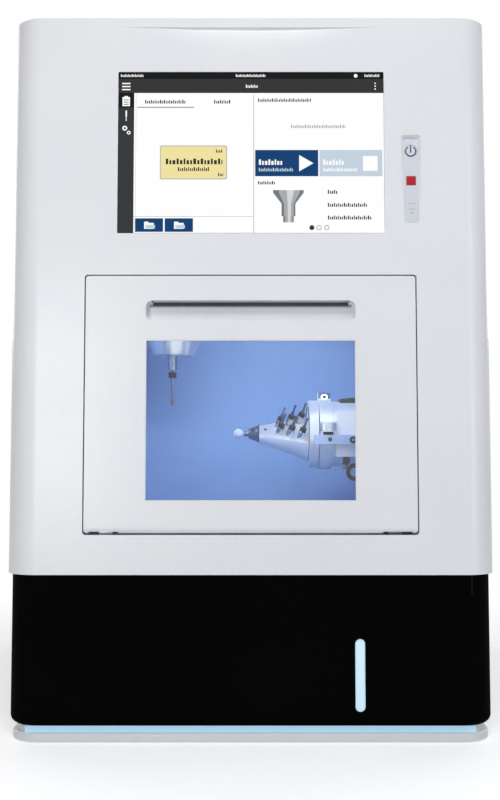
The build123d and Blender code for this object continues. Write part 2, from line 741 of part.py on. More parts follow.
with BuildPart() as light_strip:
    with Locations((0, STRIP_REAR_Y - STRIP_D / 2, (PLINTH_TOP + BASE_BOTTOM - STRIP_GAP) / 2)):
        Box(STRIP_W, STRIP_D, BASE_BOTTOM - STRIP_GAP - PLINTH_TOP)
light_strip.part.label = "light_strip"
export_step(light_strip.part, "parts/light_strip.step")

with BuildPart() as feet:
    with BuildSketch():
        with GridLocations(PLINTH_W - 2 * FOOT_INSET, PLINTH_D - 2 * FOOT_INSET, 2, 2):
            Circle(FOOT_R)
    extrude(amount=PLINTH_Z)
feet.part.label = "feet"
export_step(feet.part, "parts/feet.step")


# Chassis

with BuildPart() as deck:
    with BuildSketch(Plane.XY.offset(SHELL_BOTTOM)):
        RectangleRounded(DECK_W, DECK_D, CORNER_R - SHELL_T)
        with Locations((DRAIN_X, DRAIN_Y)):
            Circle(DRAIN_OUTER_R + DECK_GAP, mode=Mode.SUBTRACT)
    extrude(amount=DECK_T)
deck.part.label = "deck"
export_step(deck.part, "parts/deck.step")

with BuildPart() as chassis_left:
    with Locations((-CHASSIS_X - CHASSIS_T / 2, CHASSIS_MID_Y, CHASSIS_MID_Z)):
        Box(CHASSIS_T, CHASSIS_REAR_Y - CHASSIS_FRONT_Y, CHASSIS_TOP - DECK_TOP)
chassis_left.part.label = "chassis_left"
export_step(chassis_left.part, "parts/chassis_left.step")

with BuildPart() as chassis_right:
    with Locations((CHASSIS_X + CHASSIS_T / 2, CHASSIS_MID_Y, CHASSIS_MID_Z)):
        Box(CHASSIS_T, CHASSIS_REAR_Y - CHASSIS_FRONT_Y, CHASSIS_TOP - DECK_TOP)
    # end blocks that hold the Y screw
    for block_y in (Y_RAIL_FRONT - END_BLOCK_L / 2, Y_RAIL_REAR + END_BLOCK_L / 2):
        with Locations((Y_SCREW_X, block_y, AXIS_Z)):
            Box(GUIDE_H, END_BLOCK_L, MOTOR_W)
    with Locations(Location((Y_SCREW_X, WORK_Y, AXIS_Z), (90, 0, 0))):
        Cylinder(SCREW_R + RUN_GAP, Y_SCREW_SPAN, mode=Mode.SUBTRACT)
chassis_right.part.label = "chassis_right"
export_step(chassis_right.part, "parts/chassis_right.step")

with BuildPart() as bulkhead:
    with Locations((0, BULKHEAD_Y + BULKHEAD_T / 2, (DECK_TOP + BULKHEAD_TOP) / 2)):
        Box(2 * CHASSIS_X, BULKHEAD_T, BULKHEAD_TOP - DECK_TOP)
bulkhead.part.label = "bulkhead"
export_step(bulkhead.part, "parts/bulkhead.step")

with BuildPart() as cross_beam:
    with Locations((0, BEAM_Y + BEAM_T / 2, BEAM_MID_Z)):
        Box(2 * CHASSIS_X, BEAM_T, BEAM_TOP - BEAM_BOTTOM)
    # end blocks that hold the X screw
    for block_x in (X_SCREW_START - END_BLOCK_L / 2, X_SCREW_END + END_BLOCK_L / 2):
        with Locations((block_x, X_SCREW_Y, BEAM_MID_Z)):
            Box(END_BLOCK_L, GUIDE_H, MOTOR_W)
    with Locations(Location((X_SCREW_MID, X_SCREW_Y, BEAM_MID_Z), (0, 90, 0))):
        Cylinder(SCREW_R + RUN_GAP, X_SCREW_SPAN, mode=Mode.SUBTRACT)
cross_beam.part.label = "cross_beam"
export_step(cross_beam.part, "parts/cross_beam.step")

with BuildPart() as fixed_rails:
    for rail_z in X_RAIL_ZS:
        with Locations((0, BEAM_Y - RAIL_H / 2, rail_z)):
            Box(2 * CHASSIS_X - 2 * PANEL_GAP, RAIL_H, RAIL_W)
    for side in (-1, 1):
        with Locations((CHASSIS_X - RAIL_H / 2, WORK_Y, AXIS_Z + side * Y_RAIL_SPREAD)):
            Box(RAIL_H, Y_RAIL_REAR - Y_RAIL_FRONT, RAIL_W)
fixed_rails.part.label = "fixed_rails"
export_step(fixed_rails.part, "parts/fixed_rails.step")

with BuildPart() as fixed_motors:
    with Locations((X_SCREW_END + END_BLOCK_L + MOTOR_L / 2, X_SCREW_Y, BEAM_MID_Z)):
        Box(MOTOR_L, MOTOR_W, MOTOR_W)
    with Locations((Y_SCREW_X, Y_RAIL_REAR + END_BLOCK_L + MOTOR_L / 2, AXIS_Z)):
        Box(MOTOR_W, MOTOR_L, MOTOR_W)
fixed_motors.part.label = "fixed_motors"
export_step(fixed_motors.part, "parts/fixed_motors.step")


# Milling chamber

with BuildPart() as chamber_liner:
    with Locations((0, LINER_MID_Y, (DECK_TOP + LINER_ROOF) / 2)):
        Box(2 * LINER_SIDE_X, LINER_D, LINER_ROOF - DECK_TOP)
    with Locations((0, FLANGE_FRONT_Y + FLANGE_T / 2, (DECK_TOP + FLANGE_TOP) / 2)):
        Box(2 * FLANGE_HALF_W, FLANGE_T, FLANGE_TOP - DECK_TOP)
    with Locations((DRAIN_X, DRAIN_Y, (SHELL_BOTTOM - DRAIN_DROP + DECK_TOP) / 2)):
        Cylinder(DRAIN_OUTER_R, DECK_T + DRAIN_DROP)
    with Locations((0, (LINER_FRONT_Y + LINER_BACK_Y) / 2, (LINER_FLOOR + LINER_CEILING) / 2)):
        Box(2 * LINER_HALF_W, LINER_BACK_Y - LINER_FRONT_Y, LINER_CEILING - LINER_FLOOR, mode=Mode.SUBTRACT)
    with Locations((0, FLANGE_FRONT_Y + FLANGE_T / 2, (MOUTH_BOTTOM + MOUTH_TOP) / 2)):
        Box(MOUTH_W, FLANGE_T, MOUTH_TOP - MOUTH_BOTTOM, mode=Mode.SUBTRACT)
    with Locations((DRAIN_X, DRAIN_Y, DECK_TOP)):
        Cylinder(DRAIN_R, 2 * (DECK_T + DRAIN_DROP), mode=Mode.SUBTRACT)
    # slot in the roof for the spindle, slot in the right wall for the rotary unit
    with Locations((SPINDLE_X + X_TRAVEL / 2, WORK_Y, LINER_CEILING + LINER_T / 2)):
        Box(X_TRAVEL + 2 * SLOT_R, 2 * SLOT_R, LINER_T, mode=Mode.SUBTRACT)
    with Locations((LINER_HALF_W + LINER_T / 2, WORK_Y, AXIS_Z)):
        Box(LINER_T, 2 * (Y_TRAVEL + WALL_SLOT_R), 2 * WALL_SLOT_R, mode=Mode.SUBTRACT)
    with Locations(Location((LOCK_X, FLANGE_FRONT_Y + FLANGE_T / 2, LOCK_Z), (90, 0, 0))):
        Cylinder(BOLT_HOLE_R, FLANGE_T, mode=Mode.SUBTRACT)
chamber_liner.part.label = "chamber_liner"
export_step(chamber_liner.part, "parts/chamber_liner.step")

with BuildPart() as chamber_lamp:
    with Locations((0, LINER_FRONT_Y + LAMP_D, LINER_CEILING - LAMP_H / 2)):
        Box(LAMP_W, LAMP_D, LAMP_H)
chamber_lamp.part.label = "chamber_lamp"
export_step(chamber_lamp.part, "parts/chamber_lamp.step")

with BuildPart() as door_seal:
    with BuildSketch(across(FLANGE_FRONT_Y)):
        with Locations((0, (MOUTH_BOTTOM + MOUTH_TOP) / 2)):
            Rectangle(MOUTH_W + 2 * SEAL_W, MOUTH_TOP - MOUTH_BOTTOM + 2 * SEAL_W)
            Rectangle(MOUTH_W, MOUTH_TOP - MOUTH_BOTTOM, mode=Mode.SUBTRACT)
    extrude(amount=FLANGE_FRONT_Y - DOOR_BACK_Y - SEAL_GAP)
door_seal.part.label = "door_seal"
export_step(door_seal.part, "parts/door_seal.step")

with BuildPart() as lock_unit:
    with Locations((LOCK_X, LINER_FRONT_Y + LOCK_D / 2, LINER_ROOF + LOCK_H / 2)):
        Box(LOCK_W, LOCK_D, LOCK_H)
    with Locations(Location((LOCK_X, LINER_FRONT_Y + LOCK_D / 2, LOCK_Z), (90, 0, 0))):
        Cylinder(BOLT_R + RUN_GAP, LOCK_D, mode=Mode.SUBTRACT)
lock_unit.part.label = "lock_unit"
export_step(lock_unit.part, "parts/lock_unit.step")

with BuildPart() as lock_bolt:
    with BuildSketch(across(LINER_FRONT_Y + BOLT_REAR)):
        with Locations((LOCK_X, LOCK_Z)):
            Circle(BOLT_R)
    extrude(amount=LINER_FRONT_Y + BOLT_REAR - DOOR_BACK_Y - SEAL_GAP)
lock_bolt.part.label = "lock_bolt"
export_step(lock_bolt.part, "parts/lock_bolt.step")


# Door, hinged along its bottom edge

with BuildPart() as door_panel:
    with BuildSketch(FRONT):
        with Locations((0, DOOR_Z)):
            RectangleRounded(DOOR_W, DOOR_H, DOOR_R)
        with Locations((0, WINDOW_Z)):
            RectangleRounded(WINDOW_W, WINDOW_H, WINDOW_R, mode=Mode.SUBTRACT)
    extrude(amount=-DOOR_T)
    # rebate behind the window for the pane and its frame
    with BuildSketch(across(DOOR_BACK_Y)):
        with Locations((0, WINDOW_Z)):
            Rectangle(PANE_W, PANE_H)
    extrude(amount=DOOR_T - PANE_SETBACK, mode=Mode.SUBTRACT)
    # grip slot, with a hollow behind its top lip for the finger tips
    with BuildSketch(FRONT):
        with Locations((0, GRIP_Z)):
            RectangleRounded(GRIP_W, GRIP_H, GRIP_R)
    extrude(amount=-GRIP_DEPTH, mode=Mode.SUBTRACT)
    with Locations((0, FRONT_Y + (GRIP_LIP_T + GRIP_DEPTH) / 2, GRIP_Z + (GRIP_H + GRIP_HOOK) / 2)):
        Box(GRIP_W - 2 * GRIP_R, GRIP_DEPTH - GRIP_LIP_T, GRIP_HOOK, mode=Mode.SUBTRACT)
    # front bottom edge rounded about the hinge axis, back bottom edge bevelled
    with BuildSketch(facing_x(-DOOR_W / 2)):
        with Locations((HINGE_Y - HINGE_INSET / 2, HINGE_Z - HINGE_INSET / 2)):
            Rectangle(HINGE_INSET, HINGE_INSET)
        with Locations((HINGE_Y, HINGE_Z)):
            Circle(HINGE_INSET, mode=Mode.SUBTRACT)
        with BuildLine():
            Polyline(
                (DOOR_BACK_Y - DOOR_BEVEL, DOOR_BOTTOM),
                (DOOR_BACK_Y, DOOR_BOTTOM),
                (DOOR_BACK_Y, DOOR_BOTTOM + DOOR_BEVEL),
                close=True,
            )
        make_face()
    extrude(amount=DOOR_W, mode=Mode.SUBTRACT)
    # pockets round the two hinge knuckles, and the holes for their pins
    for side in (-1, 1):
        with Locations((side * KNUCKLE_X, POCKET_MID_Y, POCKET_MID_Z)):
            Box(POCKET_W, POCKET_D, POCKET_H, mode=Mode.SUBTRACT)
        with Locations(Location((side * KNUCKLE_X, HINGE_Y, HINGE_Z), (0, 90, 0))):
            Cylinder(HINGE_PIN_R + HINGE_CLEAR, POCKET_W + 2 * PIN_REACH, mode=Mode.SUBTRACT)
    # strike pocket that the lock bolt slides into
    with Locations((LOCK_X, DOOR_BACK_Y - STRIKE_DEPTH / 2, LOCK_Z)):
        Box(STRIKE_W, STRIKE_DEPTH, STRIKE_H, mode=Mode.SUBTRACT)
door_panel.part.label = "door_panel"
export_step(door_panel.part, "parts/door_panel.step")

with BuildPart() as door_pane:
    with BuildSketch(across(FRONT_Y + PANE_SETBACK)):
        with Locations((0, WINDOW_Z)):
            Rectangle(PANE_W, PANE_H)
    extrude(amount=-PANE_T)
door_pane.part.label = "door_pane"
export_step(door_pane.part, "parts/door_pane.step")

with BuildPart() as pane_frame:
    with BuildSketch(across(FRONT_Y + PANE_SETBACK + PANE_T)):
        with Locations((0, WINDOW_Z)):
            Rectangle(PANE_W, PANE_H)
            RectangleRounded(WINDOW_W, WINDOW_H, WINDOW_R, mode=Mode.SUBTRACT)
    extrude(amount=-(DOOR_T - PANE_SETBACK - PANE_T))
pane_frame.part.label = "pane_frame"
export_step(pane_frame.part, "parts/pane_frame.step")

with BuildPart() as hinge_brackets:
    for side in (-1, 1):
        with Locations(Location((side * KNUCKLE_X, HINGE_Y, HINGE_Z), (0, 90, 0))):
            Cylinder(KNUCKLE_R, KNUCKLE_W)
            Cylinder(HINGE_PIN_R, POCKET_W + 2 * PIN_REACH - 2 * HINGE_CLEAR)
        with Locations((side * KNUCKLE_X, (HINGE_Y + FLANGE_FRONT_Y) / 2, HINGE_Z)):
            Box(KNUCKLE_W, FLANGE_FRONT_Y - HINGE_Y, 2 * KNUCKLE_R)
        with Locations((side * KNUCKLE_X, FLANGE_FRONT_Y - HINGE_FOOT_T / 2, HINGE_Z - HINGE_FOOT_H / 2)):
            Box(KNUCKLE_W, HINGE_FOOT_T, HINGE_FOOT_H)
hinge_brackets.part.label = "hinge_brackets"
export_step(hinge_brackets.part, "parts/hinge_brackets.step")


# Screen and keys

with BuildPart() as screen_glass:
    with BuildSketch(FRONT):
        with Locations((SCREEN_X, SCREEN_Z)):
            RectangleRounded(SCREEN_W - 2 * SCREEN_GAP, SCREEN_H - 2 * SCREEN_GAP, SCREEN_R)
    extrude(amount=-SHELL_T)
screen_glass.part.label = "screen_glass"
export_step(screen_glass.part, "parts/screen_glass.step")

with BuildPart() as screen_box:
    with BuildSketch(across(INNER_FRONT_Y)):
        with Locations((SCREEN_X, SCREEN_Z)):
            Rectangle(SCREEN_W + 2 * SCREEN_BOX_MARGIN, SCREEN_H + 2 * SCREEN_BOX_MARGIN)
    extrude(amount=-SCREEN_BOX_D)
screen_box.part.label = "screen_box"
export_step(screen_box.part, "parts/screen_box.step")

with BuildPart() as key_insert:
    with BuildSketch(CHANNEL_FLOOR):
        RectangleRounded(INSERT_W - 2 * FIT_GAP, INSERT_L - 2 * FIT_GAP, CHANNEL_R - FIT_GAP)
    extrude(amount=-2 * SHELL_T)
    split(bisect_by=across(INSERT_BACK_Y), keep=Keep.TOP)
    # flange behind the cover
    with BuildSketch(across(INNER_FRONT_Y)):
        with Locations((CHANNEL_X, CHANNEL_Z)):
            Rectangle(INSERT_FLANGE_W, INSERT_FLANGE_H)
    extrude(amount=-INSERT_FLANGE_T)
    with BuildSketch(CHANNEL_FLOOR):
        with Locations((0, POWER_KEY_Z - CHANNEL_Z)):
            Circle(POWER_KEY_R + KEY_GAP)
        with Locations((0, STOP_KEY_Z - CHANNEL_Z)):
            Rectangle(STOP_KEY_W + 2 * KEY_GAP, STOP_KEY_W + 2 * KEY_GAP)
    extrude(amount=-3 * SHELL_T, mode=Mode.SUBTRACT)
key_insert.part.label = "key_insert"
export_step(key_insert.part, "parts/key_insert.step")

with BuildPart() as power_key:
    with BuildSketch(CHANNEL_FLOOR):
        with Locations((0, POWER_KEY_Z - CHANNEL_Z)):
            Circle(POWER_KEY_R)
    extrude(amount=-KEY_T)
power_key.part.label = "power_key"
export_step(power_key.part, "parts/power_key.step")

with BuildPart() as stop_key:
    with BuildSketch(CHANNEL_FLOOR):
        with Locations((0, STOP_KEY_Z - CHANNEL_Z)):
            Rectangle(STOP_KEY_W, STOP_KEY_W)
    extrude(amount=-KEY_T)
stop_key.part.label = "stop_key"
export_step(stop_key.part, "parts/stop_key.step")


# X slide, Z slide and spindle

with BuildPart() as x_carriage:
    with Locations((SPINDLE_X, X_PLATE_FRONT_Y + PLATE_T / 2, BEAM_MID_Z)):
        Box(X_PLATE_W, PLATE_T, BEAM_TOP - BEAM_BOTTOM)
    # four guide blocks and the nut on its back
    with Locations((SPINDLE_X, X_PLATE_BACK_Y + BLOCK_H_ALL / 2, BEAM_MID_Z)):
        with GridLocations(X_PLATE_W - X_BLOCK_L, 1, 2, 1):
            for rail_z in X_RAIL_ZS:
                with Locations((0, 0, rail_z - BEAM_MID_Z)):
                    Box(X_BLOCK_L, BLOCK_H_ALL, BLOCK_W)
        Box(NUT_W, BLOCK_H_ALL, NUT_W)
    for rail_z in X_RAIL_ZS:
        with Locations((SPINDLE_X, BEAM_Y - (RAIL_H + RAIL_GAP) / 2, rail_z)):
            Box(X_PLATE_W, RAIL_H + RAIL_GAP, RAIL_W + 2 * RAIL_GAP, mode=Mode.SUBTRACT)
    with Locations(Location((SPINDLE_X, X_SCREW_Y, BEAM_MID_Z), (0, 90, 0))):
        Cylinder(SCREW_R + RUN_GAP, NUT_W, mode=Mode.SUBTRACT)
    # end blocks on its front that hold the Z screw
    for block_z in (BEAM_BOTTOM + END_BLOCK_L / 2, BEAM_TOP - END_BLOCK_L / 2):
        with Locations((SPINDLE_X, X_PLATE_FRONT_Y - Z_END_D / 2, block_z)):
            Box(MOTOR_W, Z_END_D, END_BLOCK_L)
    with Locations((SPINDLE_X, Z_SCREW_Y, BEAM_MID_Z)):
        Cylinder(SCREW_R + RUN_GAP, BEAM_TOP - BEAM_BOTTOM, mode=Mode.SUBTRACT)
x_carriage.part.label = "x_carriage"
export_step(x_carriage.part, "parts/x_carriage.step")

with BuildPart() as x_cover:
    # a plate that keeps the roof slot shut over the whole travel, hung from the X carriage
    with Locations((SPINDLE_X, WORK_Y, COVER_MID_Z)):
        Box(2 * (X_TRAVEL + SLOT_R + COVER_LAP), 2 * (SLOT_R + COVER_LAP), COVER_T)
        Cylinder(NOSE_R + NOSE_CLEAR, COVER_T, mode=Mode.SUBTRACT)
    with Locations((SPINDLE_X, (WORK_Y + SLOT_R + X_PLATE_BACK_Y) / 2, COVER_MID_Z)):
        Box(HANGER_W, X_PLATE_BACK_Y - WORK_Y - SLOT_R, COVER_T)
    with Locations((SPINDLE_X, X_PLATE_FRONT_Y + PLATE_T / 2, (COVER_MID_Z + BEAM_BOTTOM) / 2)):
        Box(HANGER_W, PLATE_T, BEAM_BOTTOM - COVER_MID_Z)
x_cover.part.label = "x_cover"
export_step(x_cover.part, "parts/x_cover.step")

with BuildPart() as z_rails:
    with Locations((SPINDLE_X, X_PLATE_FRONT_Y - RAIL_H / 2, BEAM_MID_Z)):
        with GridLocations(2 * Z_RAIL_SPREAD, 1, 2, 1):
            Box(RAIL_W, RAIL_H, BEAM_TOP - BEAM_BOTTOM)
z_rails.part.label = "z_rails"
export_step(z_rails.part, "parts/z_rails.step")

with BuildPart() as z_motor:
    with Locations((SPINDLE_X, X_PLATE_FRONT_Y - MOTOR_W / 2, BEAM_TOP + MOTOR_L / 2)):
        Box(MOTOR_W, MOTOR_W, MOTOR_L)
z_motor.part.label = "z_motor"
export_step(z_motor.part, "parts/z_motor.step")

with BuildPart() as x_screw:
    with Locations(Location((X_SCREW_MID, X_SCREW_Y, BEAM_MID_Z), (0, 90, 0))):
        Cylinder(SCREW_R, X_SCREW_SPAN - 2 * PANEL_GAP)
x_screw.part.label = "x_screw"
export_step(x_screw.part, "parts/x_screw.step")

with BuildPart() as z_screw:
    with Locations((SPINDLE_X, Z_SCREW_Y, BEAM_MID_Z)):
        Cylinder(SCREW_R, BEAM_TOP - BEAM_BOTTOM - 2 * PANEL_GAP)
z_screw.part.label = "z_screw"
export_step(z_screw.part, "parts/z_screw.step")

with BuildPart() as z_carriage:
    with Locations((SPINDLE_X, CLAMP_BACK_Y + PLATE_T / 2, Z_PLATE_BOTTOM + Z_PLATE_H / 2)):
        Box(Z_PLATE_W, PLATE_T, Z_PLATE_H)
    # guide blocks and nut on its back
    with Locations((SPINDLE_X, Z_PLATE_BACK_Y + BLOCK_H_ALL / 2, Z_PLATE_BOTTOM + Z_PLATE_H / 2)):
        with GridLocations(2 * Z_RAIL_SPREAD, 1, 2, 1):
            Box(BLOCK_W, BLOCK_H_ALL, Z_BLOCK_L)
        Box(NUT_W, BLOCK_H_ALL, NUT_W)
    with Locations((SPINDLE_X, X_PLATE_FRONT_Y - (RAIL_H + RAIL_GAP) / 2, Z_PLATE_BOTTOM + Z_PLATE_H / 2)):
        with GridLocations(2 * Z_RAIL_SPREAD, 1, 2, 1):
            Box(RAIL_W + 2 * RAIL_GAP, RAIL_H + RAIL_GAP, Z_PLATE_H, mode=Mode.SUBTRACT)
    with Locations((SPINDLE_X, Z_SCREW_Y, Z_PLATE_BOTTOM + Z_PLATE_H / 2)):
        Cylinder(SCREW_R + RUN_GAP, Z_PLATE_H, mode=Mode.SUBTRACT)
    # clamp round the spindle body
    with Locations((SPINDLE_X, WORK_Y, CLAMP_BOTTOM + CLAMP_H / 2)):
        Box(2 * (SPINDLE_R + CLAMP_WALL), 2 * (SPINDLE_R + CLAMP_WALL), CLAMP_H)
        Cylinder(SPINDLE_R + FIT_GAP, CLAMP_H, mode=Mode.SUBTRACT)
z_carriage.part.label = "z_carriage"
export_step(z_carriage.part, "parts/z_carriage.step")

with BuildPart() as spindle_body:
    with BuildSketch(across(WORK_Y)):
        with BuildLine():
            Polyline(
                (SPINDLE_X + SHAFT_R + RUN_GAP, NOSE_Z),
                (SPINDLE_X + NOSE_TIP_R, NOSE_Z),
                (SPINDLE_X + NOSE_R, NOSE_Z + NOSE_CONE_H),
                (SPINDLE_X + NOSE_R, NOSE_Z + NOSE_H),
                (SPINDLE_X + SPINDLE_R, NOSE_Z + NOSE_H),
                (SPINDLE_X + SPINDLE_R, SPINDLE_TOP),
                (SPINDLE_X, SPINDLE_TOP),
                (SPINDLE_X, SHAFT_TOP + RUN_GAP),
                (SPINDLE_X + SHAFT_R + RUN_GAP, SHAFT_TOP + RUN_GAP),
                close=True,
            )
        make_face()
    revolve(axis=SPINDLE_AXIS)
spindle_body.part.label = "spindle_body"
export_step(spindle_body.part, "parts/spindle_body.step")

with BuildPart() as spindle_shaft:
    with Locations((SPINDLE_X, WORK_Y, NOSE_Z)):
        Cylinder(SHAFT_R, SHAFT_TOP - NOSE_Z, align=ON_BASE)
    with Locations((SPINDLE_X, WORK_Y, COLLET_BOTTOM)):
        Cylinder(COLLET_R, NOSE_Z - COLLET_BOTTOM, align=ON_BASE)
        Cylinder(TOOL_R + FIT_GAP, TOOL_GRIP_L, align=ON_BASE, mode=Mode.SUBTRACT)
spindle_shaft.part.label = "spindle_shaft"
export_step(spindle_shaft.part, "parts/spindle_shaft.step")

with BuildPart() as milling_tool:
    with Locations((SPINDLE_X, WORK_Y, BURR_TOP)):
        Cylinder(TOOL_R, COLLET_BOTTOM + TOOL_GRIP_L - BURR_TOP, align=ON_BASE)
    with Locations((SPINDLE_X, WORK_Y, TOOL_TIP_Z)):
        Cylinder(BURR_R, BURR_TOP - TOOL_TIP_Z, align=ON_BASE)
    with Locations((SPINDLE_X, WORK_Y, RING_BOTTOM)):
        Cylinder(RING_R, RING_H, align=ON_BASE)
milling_tool.part.label = "milling_tool"
export_step(milling_tool.part, "parts/milling_tool.step")


# Y slide and rotary unit

with BuildPart() as y_carriage:
    with Locations((Y_PLATE_X + PLATE_T / 2, WORK_Y, AXIS_Z)):
        Box(PLATE_T, Y_PLATE_D, Y_PLATE_H)
    for side in (-1, 1):
        with Locations((Y_PLATE_BACK_X + BLOCK_H_ALL / 2, WORK_Y, AXIS_Z + side * Y_RAIL_SPREAD)):
            Box(BLOCK_H_ALL, Y_BLOCK_L, BLOCK_W)
        with Locations((CHASSIS_X - (RAIL_H + RAIL_GAP) / 2, WORK_Y, AXIS_Z + side * Y_RAIL_SPREAD)):
            Box(RAIL_H + RAIL_GAP, Y_BLOCK_L, RAIL_W + 2 * RAIL_GAP, mode=Mode.SUBTRACT)
    with Locations((Y_PLATE_BACK_X + BLOCK_H_ALL / 2, WORK_Y, AXIS_Z)):
        Box(BLOCK_H_ALL, NUT_W, NUT_W)
    with Locations(Location((Y_SCREW_X, WORK_Y, AXIS_Z), (90, 0, 0))):
        Cylinder(SCREW_R + RUN_GAP, NUT_W, mode=Mode.SUBTRACT)
y_carriage.part.label = "y_carriage"
export_step(y_carriage.part, "parts/y_carriage.step")

with BuildPart() as y_screw:
    with Locations(Location((Y_SCREW_X, WORK_Y, AXIS_Z), (90, 0, 0))):
        Cylinder(SCREW_R, Y_SCREW_SPAN - 2 * PANEL_GAP)
y_screw.part.label = "y_screw"
export_step(y_screw.part, "parts/y_screw.step")

with BuildPart() as a_housing:
    with Locations(Location((CLAMP_RING_X, WORK_Y, AXIS_Z), (0, 90, 0))):
        Cylinder(CLAMP_RING_R, CLAMP_RING_L, align=ON_BASE)
        Cylinder(HOUSING_R, Y_PLATE_X - CLAMP_RING_X, align=ON_BASE)
    # ear of the clamp ring, the side block and the rest bar with its screw
    with Locations((CLAMP_RING_X + CLAMP_RING_L / 2, WORK_Y, AXIS_Z + CLAMP_RING_R)):
        Box(CLAMP_RING_L, EAR_W, 2 * EAR_H)
    with Locations((REST_X + REST_W / 2, WORK_Y - (HOUSING_R + REST_D) / 2, REST_Z)):
        Box(REST_W, HOUSING_R + REST_D, REST_H)
    with Locations((REST_X + REST_W - BAR_L / 2, BAR_MID_Y, BAR_Z)):
        Box(BAR_L, BAR_D, BAR_H)
    with Locations((BAR_SCREW_X, BAR_MID_Y, BAR_Z + BAR_H / 2)):
        Cylinder(BAR_NECK_R, BAR_NECK_H, align=ON_BASE)
    with Locations((BAR_SCREW_X, BAR_MID_Y, BAR_Z + BAR_H / 2 + BAR_NECK_H)):
        Cylinder(BAR_SCREW_R, BAR_SCREW_H, align=ON_BASE)
    # plate that keeps the wall slot shut over the whole travel
    with Locations((LINER_SIDE_X + COVER_GAP + COVER_T / 2, WORK_Y, AXIS_Z)):
        Box(COVER_T, 2 * (2 * Y_TRAVEL + WALL_SLOT_R + COVER_LAP), 2 * (WALL_SLOT_R + COVER_LAP))
    with Locations(Location((CLAMP_RING_X, WORK_Y, AXIS_Z), (0, 90, 0))):
        Cylinder(A_SHAFT_R + RUN_GAP, A_BORE_L, align=ON_BASE, mode=Mode.SUBTRACT)
a_housing.part.label = "a_housing"
export_step(a_housing.part, "parts/a_housing.step")

with BuildPart() as tool_cone:
    with BuildSketch(across(WORK_Y)):
        with BuildLine():
            Polyline(
                (CONE_TIP_X, AXIS_Z),
                (CONE_TIP_X, AXIS_Z + CONE_TIP_R),
                (CONE_END_X, AXIS_Z + CONE_END_R),
                (CONE_END_X, AXIS_Z + DISC_R),
                (DISC_END_X, AXIS_Z + DISC_R),
                (DISC_END_X, AXIS_Z + A_SHAFT_R),
                (A_SHAFT_END_X, AXIS_Z + A_SHAFT_R),
                (A_SHAFT_END_X, AXIS_Z),
                close=True,
            )
        make_face()
    revolve(axis=ROTARY_AXIS)
    # flat on the cone where the spare tools stand
    with BuildSketch(FACET):
        Rectangle(FACET_L, 2 * DISC_R, align=(Align.MIN, Align.CENTER))
    extrude(amount=DISC_R, mode=Mode.SUBTRACT)
tool_cone.part.label = "tool_cone"
export_step(tool_cone.part, "parts/tool_cone.step")

with BuildPart() as spare_tools:
    # each spare tool leans outward: its sleeve, its stop ring and the shank that sticks out
    for column in (-1, 0, 1):
        for row in (-1, 1):
            foot = FACET * Location((
                SLEEVE_MID_X + column * SLEEVE_PITCH_X - FACET_X,
                row * (SLEEVE_ROW_Y + column * SLEEVE_PITCH_X * SLEEVE_SPREAD),
                0,
            ), (0, SLEEVE_LEAN, 0))
            with Locations(foot * Location((0, 0, -SLEEVE_SUNK))):
                Cylinder(SLEEVE_R, SLEEVE_SUNK + SLEEVE_H, align=ON_BASE)
            with Locations(foot * Location((0, 0, SLEEVE_H))):
                Cylinder(SPARE_RING_R, SPARE_RING_H, align=ON_BASE)
            with Locations(foot * Location((0, 0, SLEEVE_H + SPARE_RING_H))):
                Cylinder(TOOL_R, SPARE_SHANK_H, align=ON_BASE)
    split(bisect_by=FACET, keep=Keep.TOP)
spare_tools.part.label = "spare_tools"
export_step(spare_tools.part, "parts/spare_tools.step")

with BuildPart() as mandrel:
    with BuildSketch(across(WORK_Y)):
        with BuildLine():
            Polyline(
                (STUB_X, AXIS_Z),
                (STUB_X, AXIS_Z + STUB_R),
                (MANDREL_X, AXIS_Z + STUB_R),
                (MANDREL_X, AXIS_Z + MANDREL_R),
                (CONE_TIP_X, AXIS_Z + MANDREL_END_R),
                (CONE_TIP_X, AXIS_Z),
                close=True,
            )
        make_face()
    revolve(axis=ROTARY_AXIS)
mandrel.part.label = "mandrel"
export_step(mandrel.part, "parts/mandrel.step")

with BuildPart() as blank:
    with Locations(Location((STUB_X - BLANK_L, WORK_Y, AXIS_Z), (0, 90, 0))):
        Cylinder(BLANK_R, BLANK_L, align=ON_BASE)
    fillet(blank.edges().filter_by(GeomType.CIRCLE), BLANK_ROUND)
blank.part.label = "blank"
export_step(blank.part, "parts/blank.step")


# Electrics, cooling air and pump

with BuildPart() as power_supply:
    with Locations((SUPPLY_X, BULKHEAD_BACK_Y + SUPPLY_D / 2, SUPPLY_Z)):
        Box(SUPPLY_W, SUPPLY_D, SUPPLY_H)
power_supply.part.label = "power_supply"
export_step(power_supply.part, "parts/power_supply.step")

with BuildPart() as control_board:
    with BuildSketch(across(BULKHEAD_BACK_Y)):
        with Locations((BOARD_X, BOARD_Z)):
            with GridLocations(BOARD_W - BOARD_EDGE, BOARD_H - BOARD_EDGE, 2, 2):
                Circle(POST_R)
    extrude(amount=-POST_H)
    with BuildSketch(across(BULKHEAD_BACK_Y + POST_H)):
        with Locations((BOARD_X, BOARD_Z)):
            Rectangle(BOARD_W, BOARD_H)
    extrude(amount=-BOARD_T)
    # drivers and connectors
    with BuildSketch(across(BULKHEAD_BACK_Y + POST_H + BOARD_T)):
        with Locations((BOARD_X, BOARD_Z)):
            with GridLocations(DRIVER_PITCH, DRIVER_PITCH, 3, 4):
                Rectangle(DRIVER_W, DRIVER_W)
    extrude(amount=-DRIVER_H)
control_board.part.label = "control_board"
export_step(control_board.part, "parts/control_board.step")

